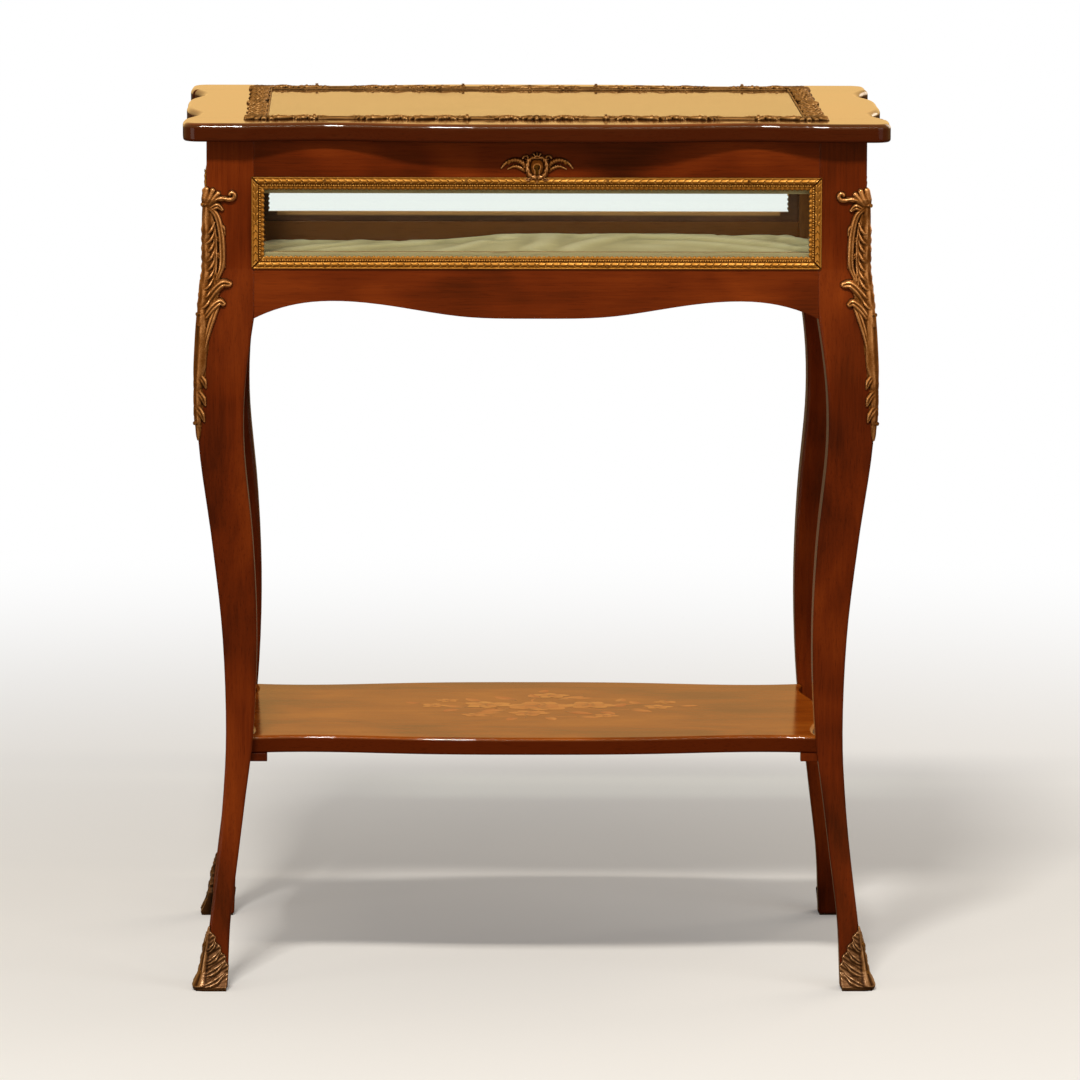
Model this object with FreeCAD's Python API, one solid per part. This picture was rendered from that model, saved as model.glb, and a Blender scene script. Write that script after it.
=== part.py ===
import FreeCAD, Part
import math
import os

# Collectors display table: a shallow glazed case on four cabriole legs, with a hinged lid that
# frames a sheet of glass, an undershelf between the legs, and gilt mounts on the wood.
#
# The origin is on the floor under the middle of the table. +Z is up, the front faces -Y,
# left is -X as seen from the front, and every size is in millimetres.

os.makedirs("parts", exist_ok=True)

# ---------------------------------------------------------------------------------------------
# Driving dimensions
# ---------------------------------------------------------------------------------------------

table_height = 760.0        # floor to the top of the lid's wood
case_width = 570.0          # across the outer faces of the legs' stiles
case_depth = 368.0
stile_size = 41.0           # square section of the leg where it is a corner of the case
rail_thick = 20.0           # top rails and aprons
top_rail_height = 38.0
window_height = 67.0        # clear height between the top rail and the apron
apron_end_height = 49.0     # apron at the leg
apron_wave = 15.0           # how far the apron's lower edge rises on each side of its middle
tenon_length = 12.0
tenon_thick = 8.0
tenon_shoulder = 6.0        # wood left above and below a tenon

# Cabriole leg: (share of the height from the floor to the apron, how far the outer faces stand
# outside the case, how much narrower than the stile each face is).
leg_shape = (
    (0.00, 5.0, 19.0),      # toe
    (0.10, -1.6, 23.0),
    (0.19, -8.0, 23.0),     # shin
    (0.28, -13.0, 21.5),
    (0.38, -15.7, 17.0),    # ankle, where the shelf is housed
    (0.525, -12.8, 11.0),
    (0.665, -4.2, 5.6),     # calf
    (0.81, 6.9, 2.2),
    (0.90, 8.5, -0.5),      # knee
)
haunch = ((0.985, 5.6), (1.04, 2.3))    # outer faces beside the apron, above the knee
arris_radius = 2.5

# Apron's lower edge: (share of the half length, share of the wave).
apron_shape = (
    (0.0, 0.0),
    (0.26, 0.11),
    (0.47, 0.61),
    (0.70, 1.0),
    (0.84, 0.85),
    (0.95, 0.36),
    (1.0, 0.0),
)

floor_thick = 5.0
floor_drop = 22.0           # window's lower edge to the top of the floor board
groove_depth = 5.0          # the floor's edge in the aprons
lining_thick = 6.0
soft_gap = 0.3              # round the soft lining

pane_thick = 3.0
pane_gap = 0.5              # round the edge of each sheet of glass
bead_width = 8.0            # wooden glazing beads, inside

frame_strip = 10.0          # gilt moulding round each window
frame_thick = 3.0
frame_lap_rail = 6.5        # how far it laps on the rail and the apron
frame_lap_stile = 2.5       # and on the stile

# Lid
lid_thick = 16.0
lid_width = 610.0           # across the ears
lid_depth = 420.0           # across the middle bows
lid_ear_set_back = 7.0      # ears stand this far behind the bow, front and back
lid_notch_front = 17.0      # hollow beside the ear, measured from the bow
lid_notch_side = 12.0
lid_ear_front = 55.0        # ear, from the lid's end along the front
lid_hollow_front = 113.0    # deepest place of the hollow, from the end
lid_shoulder_front = 195.0  # where the bow takes over
lid_shoulder_drop = 4.5     # and how far it is behind the bow there
lid_ear_side = 50.0         # the same along the sides
lid_hollow_side = 98.0
lid_shoulder_side = 150.0
lid_shoulder_side_drop = 2.0
lid_corner_radius = 15.0
lid_top_round = 4.5
lid_bottom_round = 2.5
border_half_width = 252.0   # gilt border on the lid
border_half_depth = 166.0
border_strip = 20.0
border_thick = 4.0
border_corner = 12.0        # radius of the border's inner corners
lid_glass_thick = 4.0
lid_glass_lap = 6.0         # how far the glass rests on the wood
lid_tenon_length = 22.0
lid_tenon_width = 44.0
lid_tenon_thick = 5.0

# Hinges
hinge_place = 150.0         # middle of each hinge from the middle of the table
hinge_length = 50.0
hinge_leaf = 1.4            # thickness of a leaf
hinge_leaf_width = 19.0     # from the case's back face inwards
knuckle_radius = 3.0
knuckle_gap = 0.2           # between knuckles along the pin
hinge_pin_radius = 1.25
hinge_running = 0.05        # radial clearance of the lid's knuckle on the pin
hinge_stand_off = 0.5       # between the knuckles and the case's back face
joint_clearance = 0.1       # each leaf's face below its own wood's face
sweep_clearance = 0.5       # round anything that turns about the pin

# Lock
lock_width = 52.0           # box of the lock
lock_height = 32.0
lock_box_depth = 9.0
lock_wall = 1.2
lock_plate_width = 68.0     # plate that the screws go through
lock_plate_thick = 1.5
keyhole_drop = 23.0         # keyhole's round below the lid's underside
keyhole_radius = 2.2
keyhole_slot = 2.2
keyhole_length = 7.0
bolt_travel = 6.0
bolt_bar_height = 6.0
bolt_bar_drop = 3.0         # bar below the staples' feet
tongue_size = 2.4           # square tongue that enters a staple's eye
tongue_reach = 6.0          # tongue beyond its finger
finger_thick = 3.0
tip_gap = 1.0               # tongue's tip short of the staple when the bolt is drawn back
bolt_side_gap = 0.3         # bolt between the walls of its box
staple_place = 12.0         # each staple of the link plate from the lock's middle
staple_thick = 2.0
staple_width = 5.0
staple_drop = 8.0
staple_eye_width = 3.4
staple_eye_height = 3.8
staple_foot = 1.4           # metal under the eye
staple_gap = 0.6            # between a staple and its slot

# Shelf
shelf_top = 218.0
shelf_thick = 15.0
shelf_housing = 5.0         # how far its corners enter the legs
shelf_front_bow = 9.0       # the middle bow stands this far outside the corner
shelf_front_notch = 6.0     # hollow, inside the corner
shelf_shoulder = 0.42       # share of the half length where the bow is half its height
shelf_hollow = 0.74         # and where the hollow is deepest
shelf_side_bow = 5.0
shelf_side_notch = 5.0
shelf_top_round = 3.0
shelf_bottom_round = 1.5
block_size = 18.0
block_height = 7.0
block_cut = 9.0

# Gilt mounts. Corner mount: (drop from the top of the window's moulding, width on each face).
mount_shape = (
    (9.0, 10.0),
    (18.0, 27.0),           # scroll
    (30.0, 15.0),
    (72.0, 15.0),           # leaf
    (97.0, 26.0),           # lower scroll
    (127.0, 13.0),
    (182.0, 8.0),
    (228.0, 4.0),           # tail
)
mount_thick = 5.0
mount_tail_thick = 3.0
sabot_height = 56.0         # at the leg's outer arris
sabot_side_height = 21.0    # at the inner edge of each outer face
sabot_sole = 2.0
sabot_set_back = 1.0        # its inner edges from the leg's inner faces
# Sabot: (height, how far its outer faces stand outside the leg's).
sabot_shape = (
    (0.0, 7.6),
    (5.0, 9.0),
    (16.0, 4.6),
    (30.0, 3.6),
    (46.0, 2.6),
    (56.0, 1.2),
)

escutcheon_half_width = 31.0
escutcheon_wing_thick = 2.5
escutcheon_boss_width = 22.0
escutcheon_boss_height = 25.0
escutcheon_boss_thick = 5.5
# Each wing's edges: (share of the half width, height above the keyhole).
wing_upper = ((0.18, 3.0), (0.50, 6.0), (0.80, 7.0), (1.0, 3.0))
wing_lower = ((0.93, -1.5), (0.75, 1.0), (0.50, -1.0), (0.18, -5.0))

# Screws and pins
hinge_screw = (3.0, 1.5, 12.0)      # head radius, shank radius, length
lid_hinge_screw = (3.0, 1.5, 10.0)
lock_screw = (2.2, 1.1, 9.0)
link_screw = (2.2, 1.1, 8.0)
shelf_screw = (2.8, 1.5, 32.0)
slot_width = 0.6
slot_depth = 0.7
pin_shank = 0.7
pin_head = 1.3
pin_head_height = 0.6
pin_bite = 6.0              # how deep a pin goes into the wood
mount_pin_shank = 0.9
mount_pin_head = 1.7
mount_pin_bite = 10.0
mount_pin_inset = 15.0      # end pins of a corner mount from its ends
sabot_pin_heights = (16.0, 40.0)
border_pin_inset = 40.0     # end pins of a border strip from the corner of the glass
border_pin_middle = 60.0    # the others, from the middle of the strip
lock_screw_inset = 6.0

# ---------------------------------------------------------------------------------------------
# Places that follow from the sizes
# ---------------------------------------------------------------------------------------------

half_w = case_width / 2
half_d = case_depth / 2
lid_under = table_height - lid_thick
window_top = lid_under - top_rail_height
window_bottom = window_top - window_height
apron_end = window_bottom - apron_end_height
stile_x = half_w - stile_size           # inner faces of the stiles
stile_y = half_d - stile_size
rail_x = half_w - rail_thick            # inner faces of the rails
rail_y = half_d - rail_thick
frame_top = window_top + frame_lap_rail
frame_bottom = window_bottom - frame_lap_rail
window_middle = (window_top + window_bottom) / 2
floor_top = window_bottom - floor_drop
shelf_bottom = shelf_top - shelf_thick
reach = case_width + case_depth         # longer than anything that is cut
hinge_y = half_d + hinge_stand_off + knuckle_radius
lock_y = -rail_y                        # inner face of the front top rail
keyhole_z = lid_under - keyhole_drop


# ---------------------------------------------------------------------------------------------
# Helpers
# ---------------------------------------------------------------------------------------------

def vec(x, y, z):
    return FreeCAD.Vector(x, y, z)


def box(x0, x1, y0, y1, z0, z1):
    """Box between two corners."""
    return Part.makeBox(x1 - x0, y1 - y0, z1 - z0, vec(x0, y0, z0))


def rod(radius, start, end):
    """Round bar from one point to another."""
    along = end - start
    return Part.makeCylinder(radius, along.Length, start, along)


def smooth(stations, place):
    """Value at a place on a smooth line through (place, value) stations."""
    last = len(stations) - 1
    i = 0
    while i < last - 1 and place > stations[i + 1][0]:
        i += 1
    (p0, v0), (p1, v1) = stations[i], stations[i + 1]
    run = p1 - p0
    slope0 = (v1 - v0) / run
    slope1 = slope0
    if i > 0:
        slope0 = (v1 - stations[i - 1][1]) / (p1 - stations[i - 1][0])
    if i < last - 1:
        slope1 = (stations[i + 2][1] - v0) / (stations[i + 2][0] - p0)
    t = (place - p0) / run
    lift = t * t * (3 - 2 * t)
    between = v0 * (1 - lift) + v1 * lift
    return between + slope0 * run * t * (1 - t) ** 2 - slope1 * run * t * t * (1 - t)


def spread(first, last, steps):
    """Evenly spaced values from first to last."""
    return [first + (last - first) * i / steps for i in range(steps + 1)]


def face_of(runs):
    """Flat face inside a closed chain of runs: two points are a line, more are a curve."""
    edges = []
    for run in runs:
        if len(run) == 2:
            edges.append(Part.makeLine(run[0], run[1]))
        else:
            curve = Part.BSplineCurve()
            curve.interpolate(run)
            edges.append(curve.toShape())
    return Part.Face(Part.Wire(edges))


def square_post(runs):
    """Post of square section with its outer arris on the diagonal of the back right corner.

    The runs give (outward from the case's face, height) and bound one side view; the other
    side view is the same, so that the arris runs straight out along the diagonal.
    """
    along_y = face_of([[vec(half_w + u, 0, z) for u, z in run] for run in runs])
    along_x = face_of([[vec(0, half_d + u, z) for u, z in run] for run in runs])
    return along_y.extrude(vec(0, reach, 0)).common(along_x.extrude(vec(reach, 0, 0)))


def mirrored(shape, x_side, y_side):
    """Copy of a back right shape at another corner; the sides are 1 or -1."""
    if x_side < 0:
        shape = shape.mirror(vec(0, 0, 0), vec(1, 0, 0))
    if y_side < 0:
        shape = shape.mirror(vec(0, 0, 0), vec(0, 1, 0))
    return shape


def turned(shape, angle):
    """Copy turned about the table's upright axis."""
    copy = shape.copy()
    copy.rotate(vec(0, 0, 0), vec(0, 0, 1), angle)
    return copy


def both_sides(shape, normal):
    """The shape and its mirror image, as one compound."""
    return Part.makeCompound([shape, shape.mirror(vec(0, 0, 0), normal)])


def ruled_block(points, along):
    """Straight-sided polygon carried along a vector."""
    return Part.Face(Part.makePolygon(points + points[:1])).extrude(along)


def mitred_frame(half_u, half_v, strip_u, strip_v, thick):
    """Four mitred strips in the XZ plane round the origin, from y = 0 towards -Y."""
    inner_u = half_u - strip_u
    inner_v = half_v - strip_v
    around = ((-1, -1), (1, -1), (1, 1), (-1, 1))
    outer = [vec(u * half_u, 0, v * half_v) for u, v in around]
    inner = [vec(u * inner_u, 0, v * inner_v) for u, v in around]
    strips = []
    for i in range(4):
        j = (i + 1) % 4
        strips.append(ruled_block([outer[i], outer[j], inner[j], inner[i]], vec(0, -thick, 0)))
    return strips


def screw(start, direction, size):
    """Countersunk screw as (screw with its slot, plain body that its hole is cut with)."""
    head, shank, length = size
    sink = head - shank
    neck = start + direction * sink
    cone = Part.makeCone(head, shank, sink, start, direction)
    body = cone.fuse(rod(shank, neck, start + direction * length)).removeSplitter()
    across = vec(1, 0, 0) if abs(direction.x) < 0.5 else vec(0, 1, 0)
    side = direction.cross(across)
    corner = start - across * head - side * (slot_width / 2)
    groove = ruled_block([corner, corner + across * (2 * head),
                          corner + across * (2 * head) + side * slot_width,
                          corner + side * slot_width], direction * slot_depth)
    return body.cut(groove), body


def pin(surface, inward, through, shank=pin_shank, head=pin_head, bite=pin_bite):
    """Round-headed pin: its head stands on the surface of a mount that is `through` thick."""
    top = surface - inward * pin_head_height
    point = surface + inward * (through + bite)
    return rod(head, top, surface).fuse(rod(shank, surface, point)).removeSplitter()


parts = {}


def keep(name, shape):
    """Note a finished sub-part under its own name."""
    parts[name] = shape


SIDES_X = (("left", -1), ("right", 1))
SIDES_Y = (("front", -1), ("back", 1))
DIAGONAL = vec(1, 1, 0).normalize()


# ---------------------------------------------------------------------------------------------
# Legs
# ---------------------------------------------------------------------------------------------

outer_stations = [(share, out) for share, out, slim in leg_shape]
outer_stations += list(haunch) + [(frame_bottom / apron_end, 0.0)]
slim_stations = [(share, slim) for share, out, slim in leg_shape]


def leg_outward(z):
    """How far the leg's outer faces stand outside the case at a height."""
    if z >= frame_bottom:
        return 0.0
    return smooth(outer_stations, z / apron_end)


def leg_inward(z):
    """The same for the leg's inner faces."""
    if z >= apron_end:
        return -stile_size
    flush = (1.0, -leg_outward(apron_end))
    return leg_outward(z) - stile_size + smooth(slim_stations + [flush], z / apron_end)


def leg_blank():
    """One leg with its stile, from the sole of its shoe to the lid."""
    outer = [(leg_outward(z), z) for z in spread(sabot_sole, frame_bottom, 22)]
    inner = [(leg_inward(z), z) for z in spread(apron_end, sabot_sole, 20)]
    runs = [
        outer,
        [outer[-1], (0.0, lid_under)],
        [(0.0, lid_under), (-stile_size, lid_under)],
        [(-stile_size, lid_under), inner[0]],
        inner,
        [inner[-1], outer[0]],
    ]
    leg = square_post(runs)
    curved = [e for e in leg.Edges if e.BoundBox.ZLength > apron_end / 2]
    return leg.makeFillet(arris_radius, curved)


leg = leg_blank()

# ---------------------------------------------------------------------------------------------
# Rails and aprons, with tenons in the stiles
# ---------------------------------------------------------------------------------------------


def tenon_pair(half_length, middle, low, high):
    """Tenons at both ends of a rail that runs along X with its middle plane at y = middle."""
    one = box(half_length, half_length + tenon_length, middle - tenon_thick / 2, middle + tenon_thick / 2,
              low + tenon_shoulder, high - tenon_shoulder)
    return both_sides(one, vec(1, 0, 0))


def top_rail(half_length, half_across):
    """Top rail that runs along X, on the back side."""
    body = box(-half_length, half_length, half_across - rail_thick, half_across, window_top, lid_under)
    tenons = tenon_pair(half_length, half_across - rail_thick / 2, window_top, lid_under)
    return body.fuse(tenons.Solids).removeSplitter()


def apron(half_length, half_across):
    """Apron that runs along X, on the back side; its face follows the legs and its edge waves."""
    low = apron_end - apron_wave
    face_line = [vec(0, half_across + leg_outward(z), z) for z in spread(low, frame_bottom, 6)]
    inner = half_across - rail_thick
    section = face_of([
        face_line,
        [face_line[-1], vec(0, half_across, window_bottom)],
        [vec(0, half_across, window_bottom), vec(0, inner, window_bottom)],
        [vec(0, inner, window_bottom), vec(0, inner, low)],
        [vec(0, inner, low), face_line[0]],
    ])
    section.translate(vec(-half_length, 0, 0))
    blank = section.extrude(vec(2 * half_length, 0, 0))
    wave = [(share * half_length, apron_end + rise * apron_wave) for share, rise in apron_shape]
    edge = [vec(-x, 0, z) for x, z in reversed(wave)] + [vec(x, 0, z) for x, z in wave[1:]]
    front_view = face_of([
        edge,
        [edge[-1], vec(half_length, 0, window_bottom)],
        [vec(half_length, 0, window_bottom), vec(-half_length, 0, window_bottom)],
        [vec(-half_length, 0, window_bottom), edge[0]],
    ])
    body = blank.common(front_view.extrude(vec(0, reach, 0)))
    tenons = tenon_pair(half_length, inner + rail_thick / 2, apron_end + apron_wave / 2, window_bottom)
    return body.fuse(tenons.Solids).removeSplitter()


floor_board = box(-rail_x - groove_depth, rail_x + groove_depth, -stile_y, stile_y,
                  floor_top - floor_thick, floor_top)
floor_board = floor_board.fuse(box(-stile_x, stile_x, -rail_y - groove_depth, rail_y + groove_depth,
                                   floor_top - floor_thick, floor_top)).removeSplitter()

rail_along = top_rail(stile_x, half_d)
rail_across = turned(top_rail(stile_y, half_w), -90)
apron_along = apron(stile_x, half_d).cut(floor_board)
apron_across = turned(apron(stile_y, half_w), -90).cut(floor_board)

leg = leg.cut([rail_along, rail_across, apron_along, apron_across])

# ---------------------------------------------------------------------------------------------
# Windows: gilt moulding outside, glass, wooden beads inside
# ---------------------------------------------------------------------------------------------


def window(half_length, half_across):
    """Pane, beads and moulding of a window on the front side, that runs along X."""
    half_high = window_height / 2
    outside = vec(0, -half_across, window_middle)
    pane = box(-half_length + pane_gap, half_length - pane_gap, 0, pane_thick,
               -half_high + pane_gap, half_high - pane_gap)
    pane.translate(outside)
    beads = mitred_frame(half_length, half_high, bead_width, bead_width, bead_width)
    for bead in beads:
        bead.translate(outside + vec(0, pane_thick + bead_width, 0))
    strips = mitred_frame(half_length + frame_lap_stile, half_high + frame_lap_rail,
                          frame_strip, frame_strip, frame_thick)
    for strip in strips:
        strip.translate(outside)
    return pane, Part.makeCompound(beads), Part.makeCompound(strips)


def window_pins(half_length, half_across, count):
    """Pins through the upper and lower strips of a window's moulding, on the front side."""
    pins = []
    spacing = 2 * half_length / count
    for z in (frame_top - frame_lap_rail / 2, frame_bottom + frame_lap_rail / 2):
        for i in range(count):
            x = -half_length + spacing * (i + 0.5)
            pins.append(pin(vec(x, -half_across - frame_thick, z), vec(0, 1, 0), frame_thick))
    return pins


WINDOWS = (
    ("front", 0, stile_x, half_d, 4),
    ("right", 90, stile_y, half_w, 3),
    ("back", 180, stile_x, half_d, 4),
    ("left", -90, stile_y, half_w, 3),
)
frame_pins = []
for side, angle, half_length, half_across, pin_count in WINDOWS:
    pane, beads, strips = window(half_length, half_across)
    pins = [turned(p, angle) for p in window_pins(half_length, half_across, pin_count)]
    keep("pane_" + side, turned(pane, angle))
    keep("glazing_beads_" + side, turned(beads, angle))
    keep("window_moulding_" + side, turned(strips, angle).cut(pins))
    frame_pins += pins

# ---------------------------------------------------------------------------------------------
# Lid
# ---------------------------------------------------------------------------------------------


def serpentine(front, side, corner_radius):
    """Closed outline with a bowed middle and hollows beside its corners.

    front and side are (along, out) points of one quarter, from the middle to the corner, for
    the edges that run along X and along Y. The corner itself is an arc, or sharp at radius 0.
    """
    front_edge = [vec(-x, -y, 0) for x, y in reversed(front)] + [vec(x, -y, 0) for x, y in front[1:]]
    side_edge = [vec(x, -y, 0) for y, x in reversed(side)] + [vec(x, y, 0) for y, x in side[1:]]
    loop = [front_edge, side_edge, [-p for p in front_edge], [-p for p in side_edge]]
    ways = [vec(1, 0, 0), vec(0, 1, 0), vec(-1, 0, 0), vec(0, -1, 0)]
    edges = []
    for i, run in enumerate(loop):
        curve = Part.BSplineCurve()
        if corner_radius > 0:
            curve.interpolate(Points=run, InitialTangent=ways[i], FinalTangent=ways[i])
        else:
            curve.interpolate(run)
        edges.append(curve.toShape())
        if corner_radius > 0:
            end = run[-1]
            start = loop[(i + 1) % 4][0]
            corner = vec(start.x, end.y, 0) if i % 2 == 0 else vec(end.x, start.y, 0)
            centre = start + end - corner
            middle = centre + (corner - centre).normalize() * corner_radius
            edges.append(Part.Arc(end, middle, start).toShape())
    return Part.Face(Part.Wire(edges))


def rounded_plate(outline, z0, thick, top_round, bottom_round):
    """Plate with its upper and lower outer edges rounded over."""
    plate = outline.extrude(vec(0, 0, thick))
    plate.translate(vec(0, 0, z0))
    upper = [e for e in plate.Edges if e.BoundBox.ZMin > z0 + thick / 2]
    plate = plate.makeFillet(top_round, upper)
    lower = [e for e in plate.Edges if e.BoundBox.ZMax < z0 + thick / 4]
    return plate.makeFillet(bottom_round, lower)


lid_half_w = lid_width / 2
lid_half_d = lid_depth / 2
ear_y = lid_half_d - lid_ear_set_back
lid_front = (
    (0.0, lid_half_d),
    (lid_half_w - lid_shoulder_front, lid_half_d - lid_shoulder_drop),
    (lid_half_w - lid_hollow_front, lid_half_d - lid_notch_front),
    (lid_half_w - lid_ear_front, ear_y),
    (lid_half_w - lid_corner_radius, ear_y),
)
lid_side = (
    (0.0, lid_half_w),
    (ear_y - lid_shoulder_side, lid_half_w - lid_shoulder_side_drop),
    (ear_y - lid_hollow_side, lid_half_w - lid_notch_side),
    (ear_y - lid_ear_side, lid_half_w),
    (ear_y - lid_corner_radius, lid_half_w),
)
lid_plate = rounded_plate(serpentine(lid_front, lid_side, lid_corner_radius), lid_under, lid_thick,
                          lid_top_round, lid_bottom_round)

sight_x = border_half_width - border_strip      # inner edge of the border, and of the wood
sight_y = border_half_depth - border_strip
rebate_x = sight_x + lid_glass_lap + pane_gap
rebate_y = sight_y + lid_glass_lap + pane_gap
lid_plate = lid_plate.cut(box(-sight_x, sight_x, -sight_y, sight_y, lid_under - 1, table_height + 1))
lid_plate = lid_plate.cut(box(-rebate_x, rebate_x, -rebate_y, rebate_y,
                              table_height - lid_glass_thick, table_height + 1))
lid_glass = box(-rebate_x + pane_gap, rebate_x - pane_gap, -rebate_y + pane_gap, rebate_y - pane_gap,
                table_height - lid_glass_thick, table_height)

# The rails run the whole width; the stiles between them have a tenon at each end.
lid_stile_middle = (sight_x + lid_half_w) / 2
lid_tenon_low = lid_under + (lid_thick - lid_glass_thick - lid_tenon_thick) / 2
lid_tenon = box(lid_stile_middle - lid_tenon_width / 2, lid_stile_middle + lid_tenon_width / 2,
                sight_y, sight_y + lid_tenon_length, lid_tenon_low, lid_tenon_low + lid_tenon_thick)
lid_stile_right = lid_plate.common(box(0, reach, -sight_y, sight_y, 0, reach))
lid_stile_right = lid_stile_right.fuse(both_sides(lid_tenon, vec(0, 1, 0)).Solids).removeSplitter()
lid_stile_left = mirrored(lid_stile_right, -1, 1)
lid_rail_back = lid_plate.common(box(-reach, reach, sight_y, reach, 0, reach))
lid_rail_back = lid_rail_back.cut([lid_stile_right, lid_stile_left])
lid_rail_front = mirrored(lid_rail_back, 1, -1)

# Gilt border: four mitred strips whose inner corners are rounded.
border_cut = box(-sight_x, sight_x, -sight_y, sight_y, 0, border_thick)
border_corners = [e for e in border_cut.Edges if e.BoundBox.ZLength > border_thick / 2]
border_cut = border_cut.makeFillet(border_corner, border_corners)
border_ring = box(-border_half_width, border_half_width, -border_half_depth, border_half_depth,
                  0, border_thick).cut(border_cut)
border_blanks = mitred_frame(border_half_width, border_half_depth, border_half_depth, border_half_depth,
                             border_thick)
border_strips = []
for blank in border_blanks:
    blank.rotate(vec(0, 0, 0), vec(1, 0, 0), 90)
    blank.translate(vec(0, 0, border_thick) - vec(0, 0, blank.BoundBox.ZMax))
    strip = border_ring.common(blank)
    strip.translate(vec(0, 0, table_height))
    border_strips.append(strip)

border_pins = []
pin_in_x = (border_half_width + rebate_x) / 2
pin_in_y = (border_half_depth + rebate_y) / 2
far_x = sight_x - border_pin_inset
border_pin_places = [(x, pin_in_y) for x in (-far_x, -border_pin_middle, border_pin_middle, far_x)]
border_pin_places += [(pin_in_x, y) for y in (-border_pin_middle, border_pin_middle)]
for x, y in border_pin_places:
    one = pin(vec(x, y, table_height + border_thick), vec(0, 0, -1), border_thick)
    border_pins += [one, one.mirror(vec(0, 0, 0), vec(0, 1, 0) if y == pin_in_y else vec(1, 0, 0))]

# ---------------------------------------------------------------------------------------------
# Hinges: two knuckles on the case leaf, one between them on the lid leaf
# ---------------------------------------------------------------------------------------------

knuckle_half = (hinge_length / 3 - knuckle_gap) / 2         # the lid's knuckle, each way from the middle
leaf_inner = half_d - hinge_leaf_width
leaf_end = hinge_y - knuckle_radius - joint_clearance       # a leaf's plate ends clear of the other's knuckle


def knuckle(x0, x1, bore):
    """One knuckle along X about the hinge's axis."""
    barrel = rod(knuckle_radius, vec(x0, hinge_y, lid_under), vec(x1, hinge_y, lid_under))
    return barrel, rod(bore, vec(x0 - 1, hinge_y, lid_under), vec(x1 + 1, hinge_y, lid_under))


def leaf(z0, z1, spans, bore):
    """Leaf between two heights with knuckles on the given spans of X."""
    half = hinge_length / 2
    plate = box(-half, half, leaf_inner, leaf_end, z0, z1)
    bores = []
    for x0, x1 in spans:
        barrel, hole = knuckle(x0, x1, bore)
        plate = plate.fuse([box(x0, x1, leaf_inner, hinge_y, z0, z1), barrel])
        bores.append(hole)
    return plate.removeSplitter().cut(bores)


def hinge_at(x_middle):
    """Leaves, pin and screws of one hinge, and the clearance that the lid's wood needs."""
    half = hinge_length / 2
    low = lid_under - joint_clearance - hinge_leaf
    high = lid_under + joint_clearance + hinge_leaf
    outer_spans = [(-half, -knuckle_half - knuckle_gap), (knuckle_half + knuckle_gap, half)]
    case_leaf = leaf(low, lid_under - joint_clearance, outer_spans, hinge_pin_radius)
    lid_leaf = leaf(lid_under + joint_clearance, high, [(-knuckle_half, knuckle_half)],
                    hinge_pin_radius + hinge_running)
    axle = rod(hinge_pin_radius, vec(-half, hinge_y, lid_under), vec(half, hinge_y, lid_under))
    groove = rod(knuckle_radius + sweep_clearance, vec(-half - sweep_clearance, hinge_y, lid_under),
                 vec(half + sweep_clearance, hinge_y, lid_under))
    case_recess = box(-half, half, leaf_inner, half_d, low, lid_under)
    lid_recess = box(-half, half, leaf_inner, hinge_y, lid_under, high)
    y_screws = (leaf_inner + half_d) / 2
    case_screws = []
    lid_screws = []
    for x in (-half * 0.68, 0, half * 0.68):
        case_screws.append(screw(vec(x, y_screws, lid_under - joint_clearance), vec(0, 0, -1), hinge_screw))
        lid_screws.append(screw(vec(x, y_screws, lid_under + joint_clearance), vec(0, 0, 1), lid_hinge_screw))
    pieces = {
        "case_leaf": case_leaf.cut([body for whole, body in case_screws]),
        "lid_leaf": lid_leaf.cut([body for whole, body in lid_screws]),
        "pin": axle,
        "groove": groove,
        "case_recess": case_recess,
        "lid_recess": lid_recess,
        "case_screws": [whole for whole, body in case_screws],
        "case_holes": [body for whole, body in case_screws],
        "lid_screws": [whole for whole, body in lid_screws],
        "lid_holes": [body for whole, body in lid_screws],
    }
    for piece in pieces.values():
        for shape in (piece if isinstance(piece, list) else [piece]):
            shape.translate(vec(x_middle, 0, 0))
    return pieces


hinges = {side: hinge_at(sign * hinge_place) for side, sign in SIDES_X}
for side, hinge in hinges.items():
    keep("hinge_%s_case_leaf" % side, hinge["case_leaf"])
    keep("hinge_%s_lid_leaf" % side, hinge["lid_leaf"])
    keep("hinge_%s_pin" % side, hinge["pin"])
keep("hinge_case_screws", Part.makeCompound([s for h in hinges.values() for s in h["case_screws"]]))
keep("hinge_lid_screws", Part.makeCompound([s for h in hinges.values() for s in h["lid_screws"]]))

# ---------------------------------------------------------------------------------------------
# Lock: a box lock in the front top rail, whose bolt slides sideways into two staples on the lid
# ---------------------------------------------------------------------------------------------

lock_box_y1 = lock_y - lock_plate_thick             # the plate lies on the box's inner side
lock_box_y0 = lock_box_y1 - lock_box_depth + lock_plate_thick
lock_floor = lid_under - lock_height
cavity_y0 = lock_box_y0 + lock_wall
cavity_y1 = lock_box_y1
lock_middle_y = (cavity_y0 + cavity_y1) / 2
cavity_x = lock_width / 2 - lock_wall
cavity_top = lid_under - lock_wall
eye_low = lid_under - staple_drop + staple_foot
eye_middle = eye_low + staple_eye_height / 2
tongue_half = tongue_size / 2
bar_top = lid_under - staple_drop - bolt_bar_drop


def keyhole(y0, y1):
    """Keyhole along Y: a round with a slot below it."""
    round_part = rod(keyhole_radius, vec(0, y0, keyhole_z), vec(0, y1, keyhole_z))
    slot = box(-keyhole_slot / 2, keyhole_slot / 2, y0, y1, keyhole_z - keyhole_length, keyhole_z)
    return round_part.fuse(slot).removeSplitter()


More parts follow.
